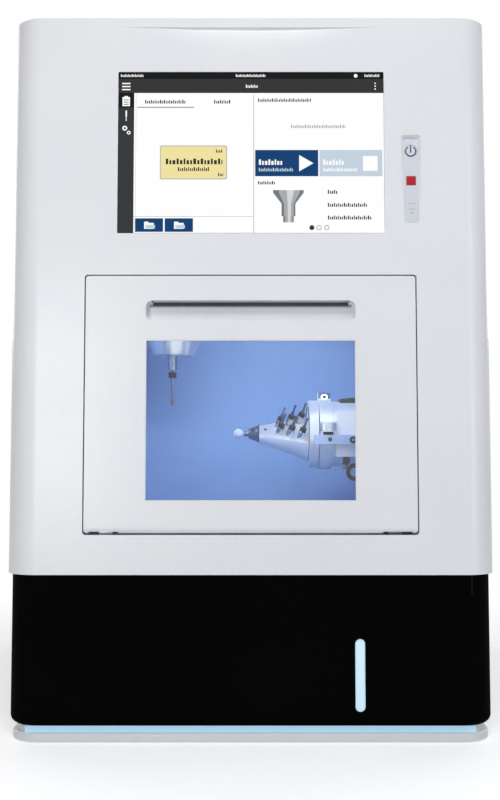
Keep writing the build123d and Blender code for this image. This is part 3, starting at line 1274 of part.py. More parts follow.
with BuildPart() as fan_frame:
    with BuildSketch(across(FAN_FACE_Y)):
        with Locations((FAN_X, FAN_Z)):
            Rectangle(FAN_W, FAN_W)
            Circle(FAN_BORE_R, mode=Mode.SUBTRACT)
    extrude(amount=FAN_T)
    # three struts and the pin that carries the rotor
    with BuildSketch(across(FAN_FACE_Y - FAN_T + FAN_STRUT_T)):
        with Locations((FAN_X, FAN_Z)):
            Circle(HUB_R)
            with PolarLocations(FAN_BORE_R / 2 + 1, 3):
                Rectangle(FAN_BORE_R, FAN_STRUT_W)
    extrude(amount=FAN_STRUT_T)
    with BuildSketch(across(FAN_FACE_Y - FAN_PIN_SETBACK)):
        with Locations((FAN_X, FAN_Z)):
            Circle(FAN_PIN_R)
    extrude(amount=FAN_T - FAN_STRUT_T - FAN_PIN_SETBACK)
fan_frame.part.label = "fan_frame"
export_step(fan_frame.part, "parts/fan_frame.step")

with BuildPart() as fan_rotor:
    with BuildSketch(across(FAN_FACE_Y - FAN_ROTOR_GAP)):
        with Locations((FAN_X, FAN_Z)):
            Circle(HUB_R)
            with PolarLocations((HUB_R + ROTOR_R) / 2 - BLADE_T, BLADES):
                Rectangle(ROTOR_R - HUB_R, BLADE_T)
            Circle(FAN_PIN_R + RUN_GAP, mode=Mode.SUBTRACT)
    extrude(amount=FAN_T - FAN_STRUT_T - 2 * FAN_ROTOR_GAP)
fan_rotor.part.label = "fan_rotor"
export_step(fan_rotor.part, "parts/fan_rotor.step")

with BuildPart() as mains_module:
    # inlet with its three pins, and the well of the rocker switch beside it
    with BuildSketch(across(REAR_PANEL_Y + MODULE_LIP_T)):
        with Locations(((INLET_X + SWITCH_X) / 2, INLET_Z)):
            RectangleRounded(MODULE_W, MODULE_H, MODULE_R)
    extrude(amount=MODULE_LIP_T)
    with BuildSketch(across(REAR_PANEL_Y)):
        with Locations((INLET_X, INLET_Z)):
            Rectangle(INLET_W - 2 * FIT_GAP, INLET_H - 2 * FIT_GAP)
        with Locations((SWITCH_X, INLET_Z)):
            Rectangle(SWITCH_W - 2 * FIT_GAP, SWITCH_H - 2 * FIT_GAP)
    extrude(amount=INLET_D)
    with BuildSketch(across(REAR_PANEL_Y + MODULE_LIP_T)):
        with Locations((INLET_X, INLET_Z)):
            Rectangle(INLET_W - 2 * INLET_WALL, INLET_H - 2 * INLET_WALL)
        with Locations((SWITCH_X, INLET_Z)):
            Rectangle(SWITCH_W - 2 * SWITCH_WALL, SWITCH_H - 2 * SWITCH_WALL)
    extrude(amount=MODULE_LIP_T + INLET_D - INLET_WALL, mode=Mode.SUBTRACT)
    with BuildSketch(across(REAR_PANEL_Y - INLET_D + INLET_WALL + INLET_PIN_L)):
        with Locations((INLET_X, INLET_Z + INLET_PIN_RISE)):
            Rectangle(INLET_PIN_T, INLET_PIN_W)
        with Locations((INLET_X, INLET_Z - INLET_PIN_RISE)):
            with GridLocations(INLET_PIN_PITCH, 1, 2, 1):
                Rectangle(INLET_PIN_T, INLET_PIN_W)
    extrude(amount=INLET_PIN_L)
    # pin across the switch well that the rocker turns on
    with Locations(Location((SWITCH_X, ROCKER_Y, INLET_Z), (0, 90, 0))):
        Cylinder(ROCKER_PIN_R, SWITCH_W - SWITCH_WALL)
mains_module.part.label = "mains_module"
export_step(mains_module.part, "parts/mains_module.step")

with BuildPart() as mains_rocker:
    with BuildSketch(facing_x(SWITCH_X - ROCKER_W / 2)):
        with Locations((ROCKER_Y, INLET_Z)):
            Circle(ROCKER_HUB_R)
        with BuildLine():
            Polyline(
                (ROCKER_Y, INLET_Z - ROCKER_HUB_R),
                (ROCKER_FACE_Y, INLET_Z - ROCKER_H / 2),
                (ROCKER_FACE_Y - ROCKER_DISH, INLET_Z),
                (ROCKER_FACE_Y, INLET_Z + ROCKER_H / 2),
                (ROCKER_Y, INLET_Z + ROCKER_HUB_R),
                close=True,
            )
        make_face()
        with Locations((ROCKER_Y, INLET_Z)):
            Circle(ROCKER_PIN_R + RUN_GAP, mode=Mode.SUBTRACT)
    extrude(amount=ROCKER_W)
mains_rocker.part.label = "mains_rocker"
export_step(mains_rocker.part, "parts/mains_rocker.step")

with BuildPart() as network_sockets:
    with BuildSketch(across(REAR_PANEL_Y + SOCKET_PROUD)):
        with Locations((SOCKET_X, INLET_Z)):
            with GridLocations(SOCKET_PITCH, 1, 2, 1):
                Rectangle(SOCKET_W - 2 * FIT_GAP, SOCKET_H - 2 * FIT_GAP)
    extrude(amount=SOCKET_D)
    with BuildSketch(across(REAR_PANEL_Y + SOCKET_PROUD)):
        with Locations((SOCKET_X, INLET_Z)):
            with GridLocations(SOCKET_PITCH, 1, 2, 1):
                Rectangle(SOCKET_HOLE_W, SOCKET_HOLE_H)
    extrude(amount=SOCKET_HOLE_D, mode=Mode.SUBTRACT)
network_sockets.part.label = "network_sockets"
export_step(network_sockets.part, "parts/network_sockets.step")

with BuildPart() as air_inlet:
    with Locations(Location((AIR_X, REAR_PANEL_Y + AIR_OUT, INLET_Z), (90, 0, 0))):
        Cylinder(AIR_R - FIT_GAP, AIR_L, align=ON_BASE)
    with Locations(Location((AIR_X, REAR_PANEL_Y - REAR_T, INLET_Z), (90, 0, 0))):
        Cylinder(AIR_NUT_R, AIR_NUT_T, align=ON_BASE)
    with Locations(Location((AIR_X, REAR_PANEL_Y + AIR_OUT, INLET_Z), (90, 0, 0))):
        Cylinder(AIR_BORE_R, AIR_BORE_L, align=ON_BASE, mode=Mode.SUBTRACT)
air_inlet.part.label = "air_inlet"
export_step(air_inlet.part, "parts/air_inlet.step")

with BuildPart() as coolant_pump:
    with Locations((PUMP_X, PUMP_Y, BASE_FLOOR)):
        Box(PUMP_W, PUMP_D, PUMP_H, align=ON_BASE)
    # head with its outlet stub on top
    with Locations((PUMP_X, PUMP_Y, BASE_FLOOR + PUMP_H)):
        Cylinder(PUMP_HEAD_R, PUMP_HEAD_H, align=ON_BASE)
        Cylinder(PUMP_STUB_R, PUMP_HEAD_H + PUMP_STUB_H, align=ON_BASE)
coolant_pump.part.label = "coolant_pump"
export_step(coolant_pump.part, "parts/coolant_pump.step")
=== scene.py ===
import json
from math import atan2, copysign, cos, pi, radians, sin, tan

import bmesh
import bpy
from mathutils import Matrix, Vector, noise


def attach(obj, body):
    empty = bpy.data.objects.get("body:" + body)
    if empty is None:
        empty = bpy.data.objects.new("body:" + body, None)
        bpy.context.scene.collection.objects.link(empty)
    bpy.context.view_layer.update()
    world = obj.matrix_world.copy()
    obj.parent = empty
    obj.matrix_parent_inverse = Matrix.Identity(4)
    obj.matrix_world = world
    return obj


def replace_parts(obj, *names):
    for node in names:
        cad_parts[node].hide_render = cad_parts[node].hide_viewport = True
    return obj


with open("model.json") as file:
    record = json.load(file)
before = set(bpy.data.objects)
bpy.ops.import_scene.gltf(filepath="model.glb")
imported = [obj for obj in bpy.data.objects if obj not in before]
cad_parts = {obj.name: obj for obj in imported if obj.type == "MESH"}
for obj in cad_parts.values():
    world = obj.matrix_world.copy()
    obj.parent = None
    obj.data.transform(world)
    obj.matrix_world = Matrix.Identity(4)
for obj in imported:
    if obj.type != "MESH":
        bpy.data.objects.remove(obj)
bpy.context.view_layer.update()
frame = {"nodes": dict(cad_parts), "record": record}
record = frame["record"]
BODY_OF = {
    node: body for body, nodes in record["behaviour"]["bodies"].items() for node in nodes}
SLOT_OF = {part["node"]: part["material_slot"] for part in record["subparts"]}

# Sizes and places are in millimetres in the part's frame, unless a comment says otherwise.
MM = 0.001
UP = (0, 0, 1)
TO_THE_RIGHT = (1, 0, 0)
TO_THE_FRONT = (0, -1, 0)

# outer face of the front cover, and the display's top left corner in it
FRONT_Y = -250.0
SCREEN_LEFT = -105.8
SCREEN_TOP = 527.8
# the key channel: a shallow, slightly tilted trough right of the display
CHANNEL_X = 127.8
CHANNEL_Z = 440.4
CHANNEL_DEPTH = 1.5
CHANNEL_TILT = radians(1.9)
POWER_SIGN_Z = 464.1
CONTACTLESS_SIGN_Z = 413.4
INK_PROUD = 0.05
# the milling space: the plane of the work, the spindle and the rotary axis
WORK_Y = -130.0
SPINDLE_X = -71.0
TOOL_TIP_Z = 266.8
AXIS_Z = 241.5
# the cone's flat, on which the spare tools stand in two rows of three
FACET_TILT = radians(32)
FACET_R = 4.0
TOOL_LEAN = radians(17)
SLEEVE_MID_X = 34.6
SLEEVE_PITCH_X = 9.6
SLEEVE_ROW_Y = 9.9
SLEEVE_SPREAD = 0.4
# the blank that is being milled
BLANK_X = -10.9
BLANK_R = 4.55
BLANK_LUMP = 0.7
# the rest bar's upright screw
BAR_SCREW_X = 66.8
BAR_Y = -175
BAR_TOP = 239.2
BAR_SCREW_TOP = 249.2
# the white bead round the window: its half width, its middle lines and its depth
BEAD_R = 0.6
BEAD_X = 82.45
BEAD_MID_Z = 248.8
BEAD_HALF_Z = 63.0
BEAD_FRONT = -249.9
BEAD_BACK = -248.9

# finish of the meshes
SHARP = radians(32)
NEARLY_FLAT = radians(0.6)
WELD = 0.002
LATHE_WELD = 0.001

# strength of the paper's own light to the camera, and of the sky
PAPER_LIFT = 0.42
SKY = 0.07
PLAIN_WHITE = (1, 1, 1, 1)


def paint(hexcode):
    """An sRGB hex colour as a linear one."""
    parts = [int(hexcode[i:i + 2], 16) / 255 for i in (1, 3, 5)]
    return tuple(
        p / 12.92 if p <= 0.04045 else ((p + 0.055) / 1.055) ** 2.4 for p in parts) + (1.0,)


def add(tree, kind, settings, **fields):
    """Adds a node. A socket in settings is linked, and anything else is set."""
    made = tree.nodes.new("ShaderNode" + kind)
    for field, value in fields.items():
        setattr(made, field, value)
    for socket, value in settings.items():
        if isinstance(value, bpy.types.NodeSocket):
            tree.links.new(value, made.inputs[socket])
        else:
            made.inputs[socket].default_value = value
    return made


def surface(name, light, dark, rough, grain, depth, stretch=(1, 1, 1), drift=80, fixed=()):
    """A material that drifts between two colours.

    Its roughness and its height follow a grain. The grain's size, the height and the length of
    the drift are in mm, and fixed holds what is the same all over."""
    made = bpy.data.materials.new(name)
    made.use_nodes = True
    tree = made.node_tree
    shader = tree.nodes["Principled BSDF"]
    place = add(tree, "TexCoord", {})
    turned = add(tree, "Mapping", {"Vector": place.outputs["Object"], "Scale": stretch})
    grains = add(tree, "TexNoise", {
        "Vector": turned.outputs["Vector"], "Scale": 1 / (grain * MM), "Detail": 3.0})
    clouds = add(tree, "TexNoise", {
        "Vector": place.outputs["Object"], "Scale": 1 / (drift * MM), "Detail": 2.0})
    both = add(tree, "Math", {
        0: grains.outputs["Fac"], 1: clouds.outputs["Fac"]}, operation="MULTIPLY")
    spread = add(tree, "MapRange", {"Value": both.outputs[0], "From Min": 0.12, "From Max": 0.4})
    tone = add(tree, "MixRGB", {
        "Fac": spread.outputs["Result"], "Color1": paint(light), "Color2": paint(dark)})
    matt = add(tree, "MapRange", {
        "Value": grains.outputs["Fac"], "From Min": 0.3, "From Max": 0.7,
        "To Min": rough[0], "To Max": rough[1]})
    relief = add(tree, "Bump", {
        "Height": grains.outputs["Fac"], "Distance": depth * MM, "Strength": 1.0})
    tree.links.new(tone.outputs["Color"], shader.inputs["Base Color"])
    tree.links.new(matt.outputs["Result"], shader.inputs["Roughness"])
    tree.links.new(relief.outputs["Normal"], shader.inputs["Normal"])
    for socket, value in dict(fixed).items():
        shader.inputs[socket].default_value = value
    return made


def glowing(made, colour, strength):
    """Gives a material a light of its own."""
    shader = made.node_tree.nodes["Principled BSDF"]
    shader.inputs["Emission Color"].default_value = paint(colour)
    shader.inputs["Emission Strength"].default_value = strength
    return made


# Materials. Where the real grain is too fine to show in the render, it is drawn coarser,
# at a third of a millimetre to two millimetres.

# wet-lacquered polyurethane shell: a clean cool white with a soft gloss and a faint orange peel
lacquer = surface("white_lacquer", "#F1F2F5", "#ECEEF2", (0.22, 0.28), 2.6, 0.006,
                  fixed={"Specular IOR Level": 0.35})
# piano-black acrylic moulding: no colour at all, only a weak gloss along its edges
piano_black = surface("piano_black", "#020203", "#050506", (0.16, 0.24), 3.0, 0.003,
                      fixed={"Specular IOR Level": 0.0, "Coat Weight": 0.03})
# satin moulded ABS foot plate: pale grey, slightly duller than the shell
satin_abs = surface("satin_abs", "#E9EAEC", "#E2E4E7", (0.34, 0.44), 0.9, 0.01)
# opal acrylic lit from behind: pale cyan, even light
opal = glowing(
    surface("opal_acrylic", "#A4D0E8", "#98C8E2", (0.25, 0.35), 1.5, 0.004), "#C9EDFF", 0.37)
# clearer acrylic light guide with its lamp right behind: nearly white at the middle
opal_bright = glowing(
    surface("bright_opal_acrylic", "#BFE0F0", "#B4D8EC", (0.25, 0.35), 1.5, 0.004),
    "#DDF4FF", 0.36)
# dark grey painted shade under the grip's upper lip, where the lip shades the grip: a dull dark
# line
grip_shade_dark = surface("painted_grip_shade_dark", "#4E4F51", "#434446", (0.6, 0.75), 0.8, 0.01,
                        fixed={"Specular IOR Level": 0.2})
# the same painted shade in pale grey, where the shade fades: a dull lighter line below the dark
# one
grip_shade_pale = surface("painted_grip_shade_pale", "#A8AAAE", "#9C9EA2", (0.6, 0.75), 0.8, 0.01,
                        fixed={"Specular IOR Level": 0.2})
# white silicone bead round the window: as white as the shell, without its gloss
white_silicone = surface("white_silicone", "#EDEFF3", "#E4E7EC", (0.5, 0.62), 1.2, 0.01)
# moulded nitrile rubber: black, dull, fine pores
rubber = surface("nitrile_rubber", "#1A1A1B", "#101011", (0.7, 0.85), 0.5, 0.03)
# cold-rolled sheet steel, zinc plated: grey, with a long rolling grain
sheet_steel = surface("zinc_plated_sheet", "#B9BCC0", "#A3A7AB", (0.32, 0.46), 0.5, 0.006,
                      (1, 0.08, 1), fixed={"Metallic": 1.0})
# glass-bead blasted stainless lining, its blue base colour painted light from the chamber's blue
# lighting: even, soft, cool
blue_lit_lining = surface("blasted_stainless_painted_blue", "#8AAEDC", "#7CA1D0", (0.5, 0.62), 0.8, 0.01, drift=90,
                 fixed={"Metallic": 0.2})
# milled aluminium plate: fine tool lines across it
milled = surface("milled_aluminium", "#C9CCD0", "#B4B8BD", (0.28, 0.4), 0.45, 0.008,
                 (1, 1, 0.1), fixed={"Metallic": 1.0})
# clear-anodised turned aluminium: bright, satin, with fine rings from the lathe
anodised = surface("anodised_aluminium", "#E4E8EF", "#D2D8E2", (0.24, 0.34), 0.4, 0.006,
                   (6, 1, 1), fixed={"Metallic": 0.9})
# glass-bead blasted and clear-anodised aluminium: nearly white, with a soft broad sheen
blasted = surface("blasted_aluminium", "#EFF2F7", "#E2E7EF", (0.34, 0.44), 0.5, 0.008,
                  fixed={"Metallic": 0.35})
# blued steel: dark slate blue with a bright edge; on the collet's two sides it is painted shade
blued_steel_and_shade = surface("blued_steel_and_painted_shade", "#6C7F9F", "#54688A", (0.2, 0.3), 0.4, 0.004, (4, 1, 1),
                fixed={"Metallic": 0.9})
# sintered diamond burr: dull bronze-brown grit
grit = surface("diamond_grit", "#5C4630", "#1E1712", (0.45, 0.7), 0.9, 0.06)
# blue anodised bar: pale blue, satin
blue_bar = surface("blue_anodised_aluminium", "#B4C8EC", "#9DB4E0", (0.3, 0.42), 0.5, 0.006,
                   (6, 1, 1), fixed={"Metallic": 0.5})
# black rubber stop rings on the tools: matt, nearly no light back; also the black of the painted
# shade rings on the cone
stop_rubber_and_shade = surface("stop_ring_rubber_and_painted_shade", "#0A0A0B", "#060607", (0.6, 0.75), 0.4, 0.01,
                      fixed={"Specular IOR Level": 0.15})
# centreless-ground steel: bright with sharp highlights
ground = surface("ground_steel", "#CBD0D6", "#AEB4BC", (0.12, 0.2), 0.3, 0.003, (1, 1, 6),
                 fixed={"Metallic": 1.0})
# moulded glass-filled nylon: charcoal, dull, slightly pitted
nylon = surface("black_nylon", "#202124", "#151618", (0.5, 0.64), 0.45, 0.02)
# float glass: clear, with hardly any tint
pane = surface("float_glass", "#FFFFFF", "#F6FBFF", (0.0, 0.01), 20.0, 0.0,
               fixed={"Transmission Weight": 1.0, "IOR": 1.45})
# natural polypropylene tank: milky, with a soft sheen
polypropylene = surface("milky_polypropylene", "#DDE1E4", "#CFD5D9", (0.42, 0.55), 1.2, 0.02,
                        fixed={"Subsurface Weight": 0.1, "Subsurface Scale": 0.004})
# satin key moulding: the shell's white, a touch greyer
key_white = surface("satin_key_plastic", "#DDE1E8", "#D3D8E1", (0.3, 0.4), 0.8, 0.006)
# translucent red key moulding: a deep, even red
key_red = surface("red_key_plastic", "#BE222C", "#AE1B25", (0.3, 0.4), 0.7, 0.004,
                  fixed={"Specular IOR Level": 0.25})
# pressed zirconia ceramic blank: cool milky white with small lumps
zirconia = surface("zirconia_blank", "#E3EAF6", "#C9D6EC", (0.5, 0.7), 1.6, 0.12)
# glass-fibre circuit board: green lacquer over copper tracks
board = surface("green_solder_mask", "#1F6A44", "#17553A", (0.3, 0.45), 1.3, 0.01)
# nickelled brass fitting: warm grey metal
brass = surface("nickelled_brass", "#D2C9AE", "#BFB490", (0.2, 0.3), 0.4, 0.004,
                fixed={"Metallic": 1.0})
# screen-printed navy ink: a dark, dull sign, slightly proud of the key
navy_ink = surface("navy_print", "#1C2D55", "#17264A", (0.4, 0.5), 0.4, 0.002)
# screen-printed pale grey ink: a faint sign, hardly darker than the channel
pale_ink = surface("grey_print", "#B4BAC6", "#ABB2BF", (0.4, 0.5), 0.4, 0.002)

FINISH = {
    "white_shell": lacquer, "black_base": piano_black, "white_plinth": satin_abs,
    "light_blue": opal, "rubber_black": rubber, "sheet_steel": sheet_steel,
    "stainless": blue_lit_lining, "aluminium": milled, "bright_aluminium": anodised, "steel": ground,
    "black_plastic": nylon, "clear_pane": pane, "screen": piano_black,
    "tank_plastic": polypropylene, "key_white": key_white, "key_red": key_red,
    "zirconia": zirconia, "board_green": board, "brass": brass,
}


# Pieces

def finished(name, form, body, materials, ease=0.0):
    """Makes a piece of a bmesh, with its edges eased by a width, and lets it ride on a body."""
    mesh = bpy.data.meshes.new(name)
    form.to_mesh(mesh)
    form.free()
    mesh.shade_smooth()
    made = bpy.data.objects.new(name, mesh)
    bpy.context.collection.objects.link(made)
    for material in materials:
        mesh.materials.append(material)
    if ease:
        edge = made.modifiers.new("eased_edges", "BEVEL")
        edge.width = ease * MM
        edge.segments = 2
        edge.limit_method = "ANGLE"
        edge.angle_limit = SHARP
        edge.harden_normals = True
        edge.use_clamp_overlap = True
    # large faces keep one normal all over, so no false bright patches show on them
    level = made.modifiers.new("flat_faces_stay_flat", "WEIGHTED_NORMAL")
    level.keep_sharp = True
    level.weight = 100
    mesh.set_sharp_from_angle(angle=SHARP)
    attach(made, body)
    return made


def eased(node, width, materials=None, marks=()):
    """A copy of a CAD node with its edges eased, standing for the node.

    Each mark gives the faces whose middles lie between two corners the material of an index."""
    form = bmesh.new()
    form.from_mesh(frame["nodes"][node].data)
    bmesh.ops.remove_doubles(form, verts=form.verts, dist=WELD * MM)
    bmesh.ops.dissolve_limit(
        form, angle_limit=NEARLY_FLAT, verts=form.verts, edges=form.edges,
        use_dissolve_boundaries=False)
    for face in form.faces:
        face.material_index = 0
        middle = face.calc_center_median() / MM
        for low, high, index in marks:
            if all(a <= b <= c for a, b, c in zip(low, middle, high)):
                face.material_index = index
    made = finished(node + "_look", form, BODY_OF[node],
                    materials or [FINISH[SLOT_OF[node]]], width)
    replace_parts(made, node)
    return made


def faces_of(verts):
    """The faces that touch any of the verts."""
    return {face for vert in verts for face in vert.link_faces}


def block(form, low, high, index=0):
    """Adds a box between two corners."""
    low, high = Vector(low), Vector(high)
    made = bmesh.ops.create_cube(form, size=MM)
    bmesh.ops.scale(form, vec=high - low, verts=made["verts"])
    bmesh.ops.translate(form, vec=(low + high) / 2 * MM, verts=made["verts"])
    for face in faces_of(made["verts"]):
        face.material_index = index
    return made["verts"]


def rod(form, start, end, radius, sides=32, index=0):
    """Adds a cylinder between two points."""
    start, end = Vector(start), Vector(end)
    turn = (end - start).to_track_quat("Z", "Y").to_matrix().to_4x4()
    made = bmesh.ops.create_cone(
        form, cap_ends=True, segments=sides, radius1=radius * MM, radius2=radius * MM,
        depth=(end - start).length * MM,
        matrix=Matrix.Translation((start + end) / 2 * MM) @ turn)
    for face in faces_of(made["verts"]):
        face.material_index = index
    return made["verts"]


def lathe(form, profile, base, along, sides=40, index=0):
    """Spins a profile of (radius, height) about an axis through base."""
    turn = Vector(along).to_track_quat("Z", "Y").to_matrix().to_4x4()
    place = Matrix.Translation(Vector(base) * MM) @ turn
    verts = [form.verts.new(place @ (Vector((radius, 0, height)) * MM))
             for radius, height in profile]
    edges = [form.edges.new(pair) for pair in zip(verts, verts[1:])]
    before = set(form.faces)
    bmesh.ops.spin(
        form, geom=verts + edges, cent=place.translation,
        axis=place.to_3x3() @ Vector(UP), angle=2 * pi, steps=sides, use_merge=True)
    spun = [face for face in form.faces if face not in before]
    bmesh.ops.remove_doubles(
        form, verts=list({vert for face in spun for vert in face.verts}), dist=LATHE_WELD * MM)
    # the weld takes faces away at the poles, so what is left is listed again
    spun = [face for face in form.faces if face not in before]
    bmesh.ops.recalc_face_normals(form, faces=spun)
    for face in spun:
        face.material_index = index


def cap_screw(form, base, along, radius, height, index=0, socket=1):
    """Adds a socket-head screw with its hexagon hole, standing on base."""
    along = Vector(along).normalized()
    hole = radius * 0.5
    lathe(form, [(radius * 0.55, 0), (radius, 0), (radius, height * 0.8),
                 (radius * 0.85, height), (hole, height)], base, along, 32, index)
    lathe(form, [(hole, height), (hole, height * 0.4), (0, height * 0.4)],
          base, along, 6, socket)


def fluted(form, start, end, radius, depth, flutes=36):
    """Adds an upright rod whose side is cut into straight flutes."""
    start = Vector(start)
    sides = 2 * flutes
    for vert in rod(form, start, end, radius, sides):
        across = vert.co - start * MM
        if round(atan2(across.y, across.x) / (2 * pi / sides)) % 2:
            vert.co.x -= across.x * depth / radius
            vert.co.y -= across.y * depth / radius


# Nodes that keep their shape, with eased edges of a width

EASE = {
    "front_cover": 0.5, "side_cover_left": 0.5, "side_cover_right": 0.5, "top_cover": 0.25,
    "rear_panel": 0.25, "base_shell": 0.4, "drawer_front": 0.4, "coolant_tank": 0.8,
    "drawer_rails": 0.4, "plinth": 0.3, "light_strip": 0.3, "feet": 0.4, "deck": 0.5,
    "chassis_left": 0.5, "chassis_right": 0.5, "bulkhead": 0.5, "cross_beam": 0.6,
    "fixed_rails": 0.5, "fixed_motors": 1.0, "chamber_liner": 0.3, "chamber_lamp": 0.6,
    "door_seal": 0.5, "lock_unit": 0.8, "lock_bolt": 0.4, "pane_frame": 0.3,
    "hinge_brackets": 0.3, "screen_box": 0.8, "key_insert": 0.15, "power_key": 0.3,
    "stop_key": 0.3, "x_carriage": 0.6, "x_cover": 0.3, "z_rails": 0.5, "z_motor": 1.0,
    "x_screw": 0.4, "z_screw": 0.4, "z_carriage": 0.6, "spindle_body": 0.7,
    "y_carriage": 0.6, "y_screw": 0.4, "power_supply": 1.0, "control_board": 0.3,
    "fan_frame": 0.5, "fan_rotor": 0.3, "mains_module": 0.4, "mains_rocker": 0.4,
    "network_sockets": 0.3, "air_inlet": 0.4, "coolant_pump": 0.8,
}
for node, width in EASE.items():
    eased(node, width)
# the rotary unit is white, with a blue rest bar and a dark pad under the clamp's screw
eased("a_housing", 0.5, [blasted, blue_bar, blued_steel_and_shade], marks=[
    ((54, -180, 230), (113, -170.9, 240), 1), ((60, -140, 273.2), (73, -120, 280), 2)])
eased("level_light", 0.3, [opal_bright])
# the underside of the grip's lip takes the dark grey: painted shade
eased("door_panel", 0.5, [lacquer, grip_shade_dark], marks=[
    ((-78, -250, 342.4), (78, -240, 343.6), 1)])
# the pane's four edges are covered by its white bead
eased("door_pane", 0.2, [pane, white_silicone], marks=[
    ((-84, -250, 186), (-82.3, -243, 312), 1), ((82.3, -250, 186), (84, -243, 312), 1),
    ((-82, -250, 184), (82, -243, 185.9), 1), ((-82, -250, 311.7), (82, -243, 313), 1)])
eased("tool_cone", 0.4, [blasted])
eased("mandrel", 0.25, [blued_steel_and_shade])
# the collet's two ground sides take the blued steel as painted shade, darker than its front
eased("spindle_shaft", 0.1, [ground, blued_steel_and_shade], marks=[
    ((-76, -132.4, 296), (-73.6, -127.6, 312), 1),
    ((-68.4, -132.4, 296), (-66, -127.6, 312), 1)])


# Door trim

# strip of painted shade under the upper lip of the door's grip: a dark band, and a pale one below
# it
form = bmesh.new()
block(form, (-77.8, -241.4, 340.1), (77.8, -240.9, 343.1))
block(form, (-80.4, -241.3, 339.0), (80.4, -240.9, 341.4), 1)
finished("grip_shade_strip", form, "door", [grip_shade_dark, grip_shade_pale], 0.15)

# white bead that closes the gap between the pane and the door
form = bmesh.new()
for side in (-1, 1):
    block(form, (BEAD_X * side - BEAD_R, BEAD_FRONT, 185.4),
          (BEAD_X * side + BEAD_R, BEAD_BACK, 312.2))
    block(form, (-82.9, BEAD_FRONT, BEAD_MID_Z + BEAD_HALF_Z * side - BEAD_R),
          (82.9, BEAD_BACK, BEAD_MID_Z + BEAD_HALF_Z * side + BEAD_R))
finished("window_bead", form, "door", [white_silicone], 0.3)


# Milling tool, spare tools and blank, with profiles of (radius, height)

BURR = [(0, 0), (0.7, 0.25), (1.3, 1.6), (1.5, 3.6), (1.4, 5.6), (0.9, 7.0), (0.0, 7.3)]
SHANK = [(0, 7.0), (0.85, 7.0), (1.1, 9.5), (1.35, 12.0), (1.35, 20.5), (1.5, 21.2),
         (1.5, 46.2), (0, 46.2)]
STOP_RING = [(1.5, 25.7), (3.45, 25.7), (3.75, 26.0), (3.75, 27.4), (3.45, 27.7),
             (3.45, 28.4), (3.75, 28.7), (3.75, 30.1), (3.45, 30.4), (1.5, 30.4)]
form = bmesh.new()
tip = (SPINDLE_X, WORK_Y, TOOL_TIP_Z)
lathe(form, BURR, tip, UP, 24, 1)
lathe(form, SHANK, tip, UP, 24, 0)
lathe(form, STOP_RING, tip, UP, 40, 2)
milling_tool_look = finished(
    "milling_tool_look", form, "spindle", [blued_steel_and_shade, grit, stop_rubber_and_shade])
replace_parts(milling_tool_look, "milling_tool")

SLEEVE = [(0, -0.9), (3.2, -0.9), (3.2, 0.9), (2.9, 1.1), (2.9, 1.5), (3.2, 1.7), (3.2, 6.7),
          (2.9, 7.0), (0, 7.0)]
SPARE_RING = [(0, 7.0), (2.7, 7.0), (3.0, 7.2), (3.0, 8.1), (2.75, 8.3), (2.75, 8.7),
              (3.0, 8.9), (3.0, 9.8), (2.6, 10.0), (0, 10.0)]
SPARE_SHANK = [(0, 10.0), (1.5, 10.0), (1.5, 12.6), (0.95, 13.6), (0.95, 18.4),
               (1.15, 19.0), (1.15, 20.5), (0.7, 21.0), (0, 21.0)]
facet_up = Vector((0, -sin(FACET_TILT), cos(FACET_TILT)))
facet_side = Vector((0, cos(FACET_TILT), sin(FACET_TILT)))
lean = Vector((sin(TOOL_LEAN), 0, 0)) + facet_up * cos(TOOL_LEAN)
form = bmesh.new()
for column in (-1, 0, 1):
    for row in (-1, 1):
        foot = Vector((SLEEVE_MID_X + SLEEVE_PITCH_X * column, WORK_Y, AXIS_Z))
        foot += facet_up * FACET_R
        foot += facet_side * row * (SLEEVE_ROW_Y + SLEEVE_PITCH_X * SLEEVE_SPREAD * column)
        lathe(form, SLEEVE, foot, lean, 32, 0)
        lathe(form, SPARE_RING, foot, lean, 32, 1)
        lathe(form, SPARE_SHANK, foot, lean, 20, 2)
spare_tools_look = finished(
    "spare_tools_look", form, "rotor", [ground, stop_rubber_and_shade, blued_steel_and_shade])
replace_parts(spare_tools_look, "spare_tools")

form = bmesh.new()
ball = bmesh.ops.create_icosphere(form, subdivisions=3, radius=BLANK_R * MM)
for vert in ball["verts"]:
    vert.co += vert.co.normalized() * noise.noise(vert.co / MM * 0.5) * BLANK_LUMP * MM
bmesh.ops.scale(form, vec=(1.0, 0.94, 0.94), verts=form.verts)
bmesh.ops.translate(form, vec=Vector((BLANK_X, WORK_Y, AXIS_Z)) * MM, verts=form.verts)
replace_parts(finished("blank_look", form, "rotor", [zirconia]), "blank")


# Small screws and fittings

# one screw in the mandrel and one on the cone's flat
form = bmesh.new()
cap_screw(form, (1.9, WORK_Y - 5.6, AXIS_Z + 3.2), (-0.3, -0.8, 0.5), 1.5, 0.7, 1, 0)
cap_screw(form, Vector((13.4, WORK_Y, AXIS_Z)) + facet_up * (FACET_R - 0.1), facet_up, 1.4, 0.9)
# thin black rings of painted shade where the cone meets its disc, and where the mandrel is
# screwed in
lathe(form, [(24.0, 0), (24.35, 0.05), (24.35, 0.6), (24.0, 0.65)],
      (51.4, WORK_Y, AXIS_Z), TO_THE_RIGHT, 96, 1)
lathe(form, [(7.8, 0), (8.2, 0.05), (8.2, 0.55), (7.8, 0.6)],
      (7.2, WORK_Y, AXIS_Z), TO_THE_RIGHT, 64, 1)
finished("cone_screws_and_shade_rings", form, "rotor", [ground, stop_rubber_and_shade])

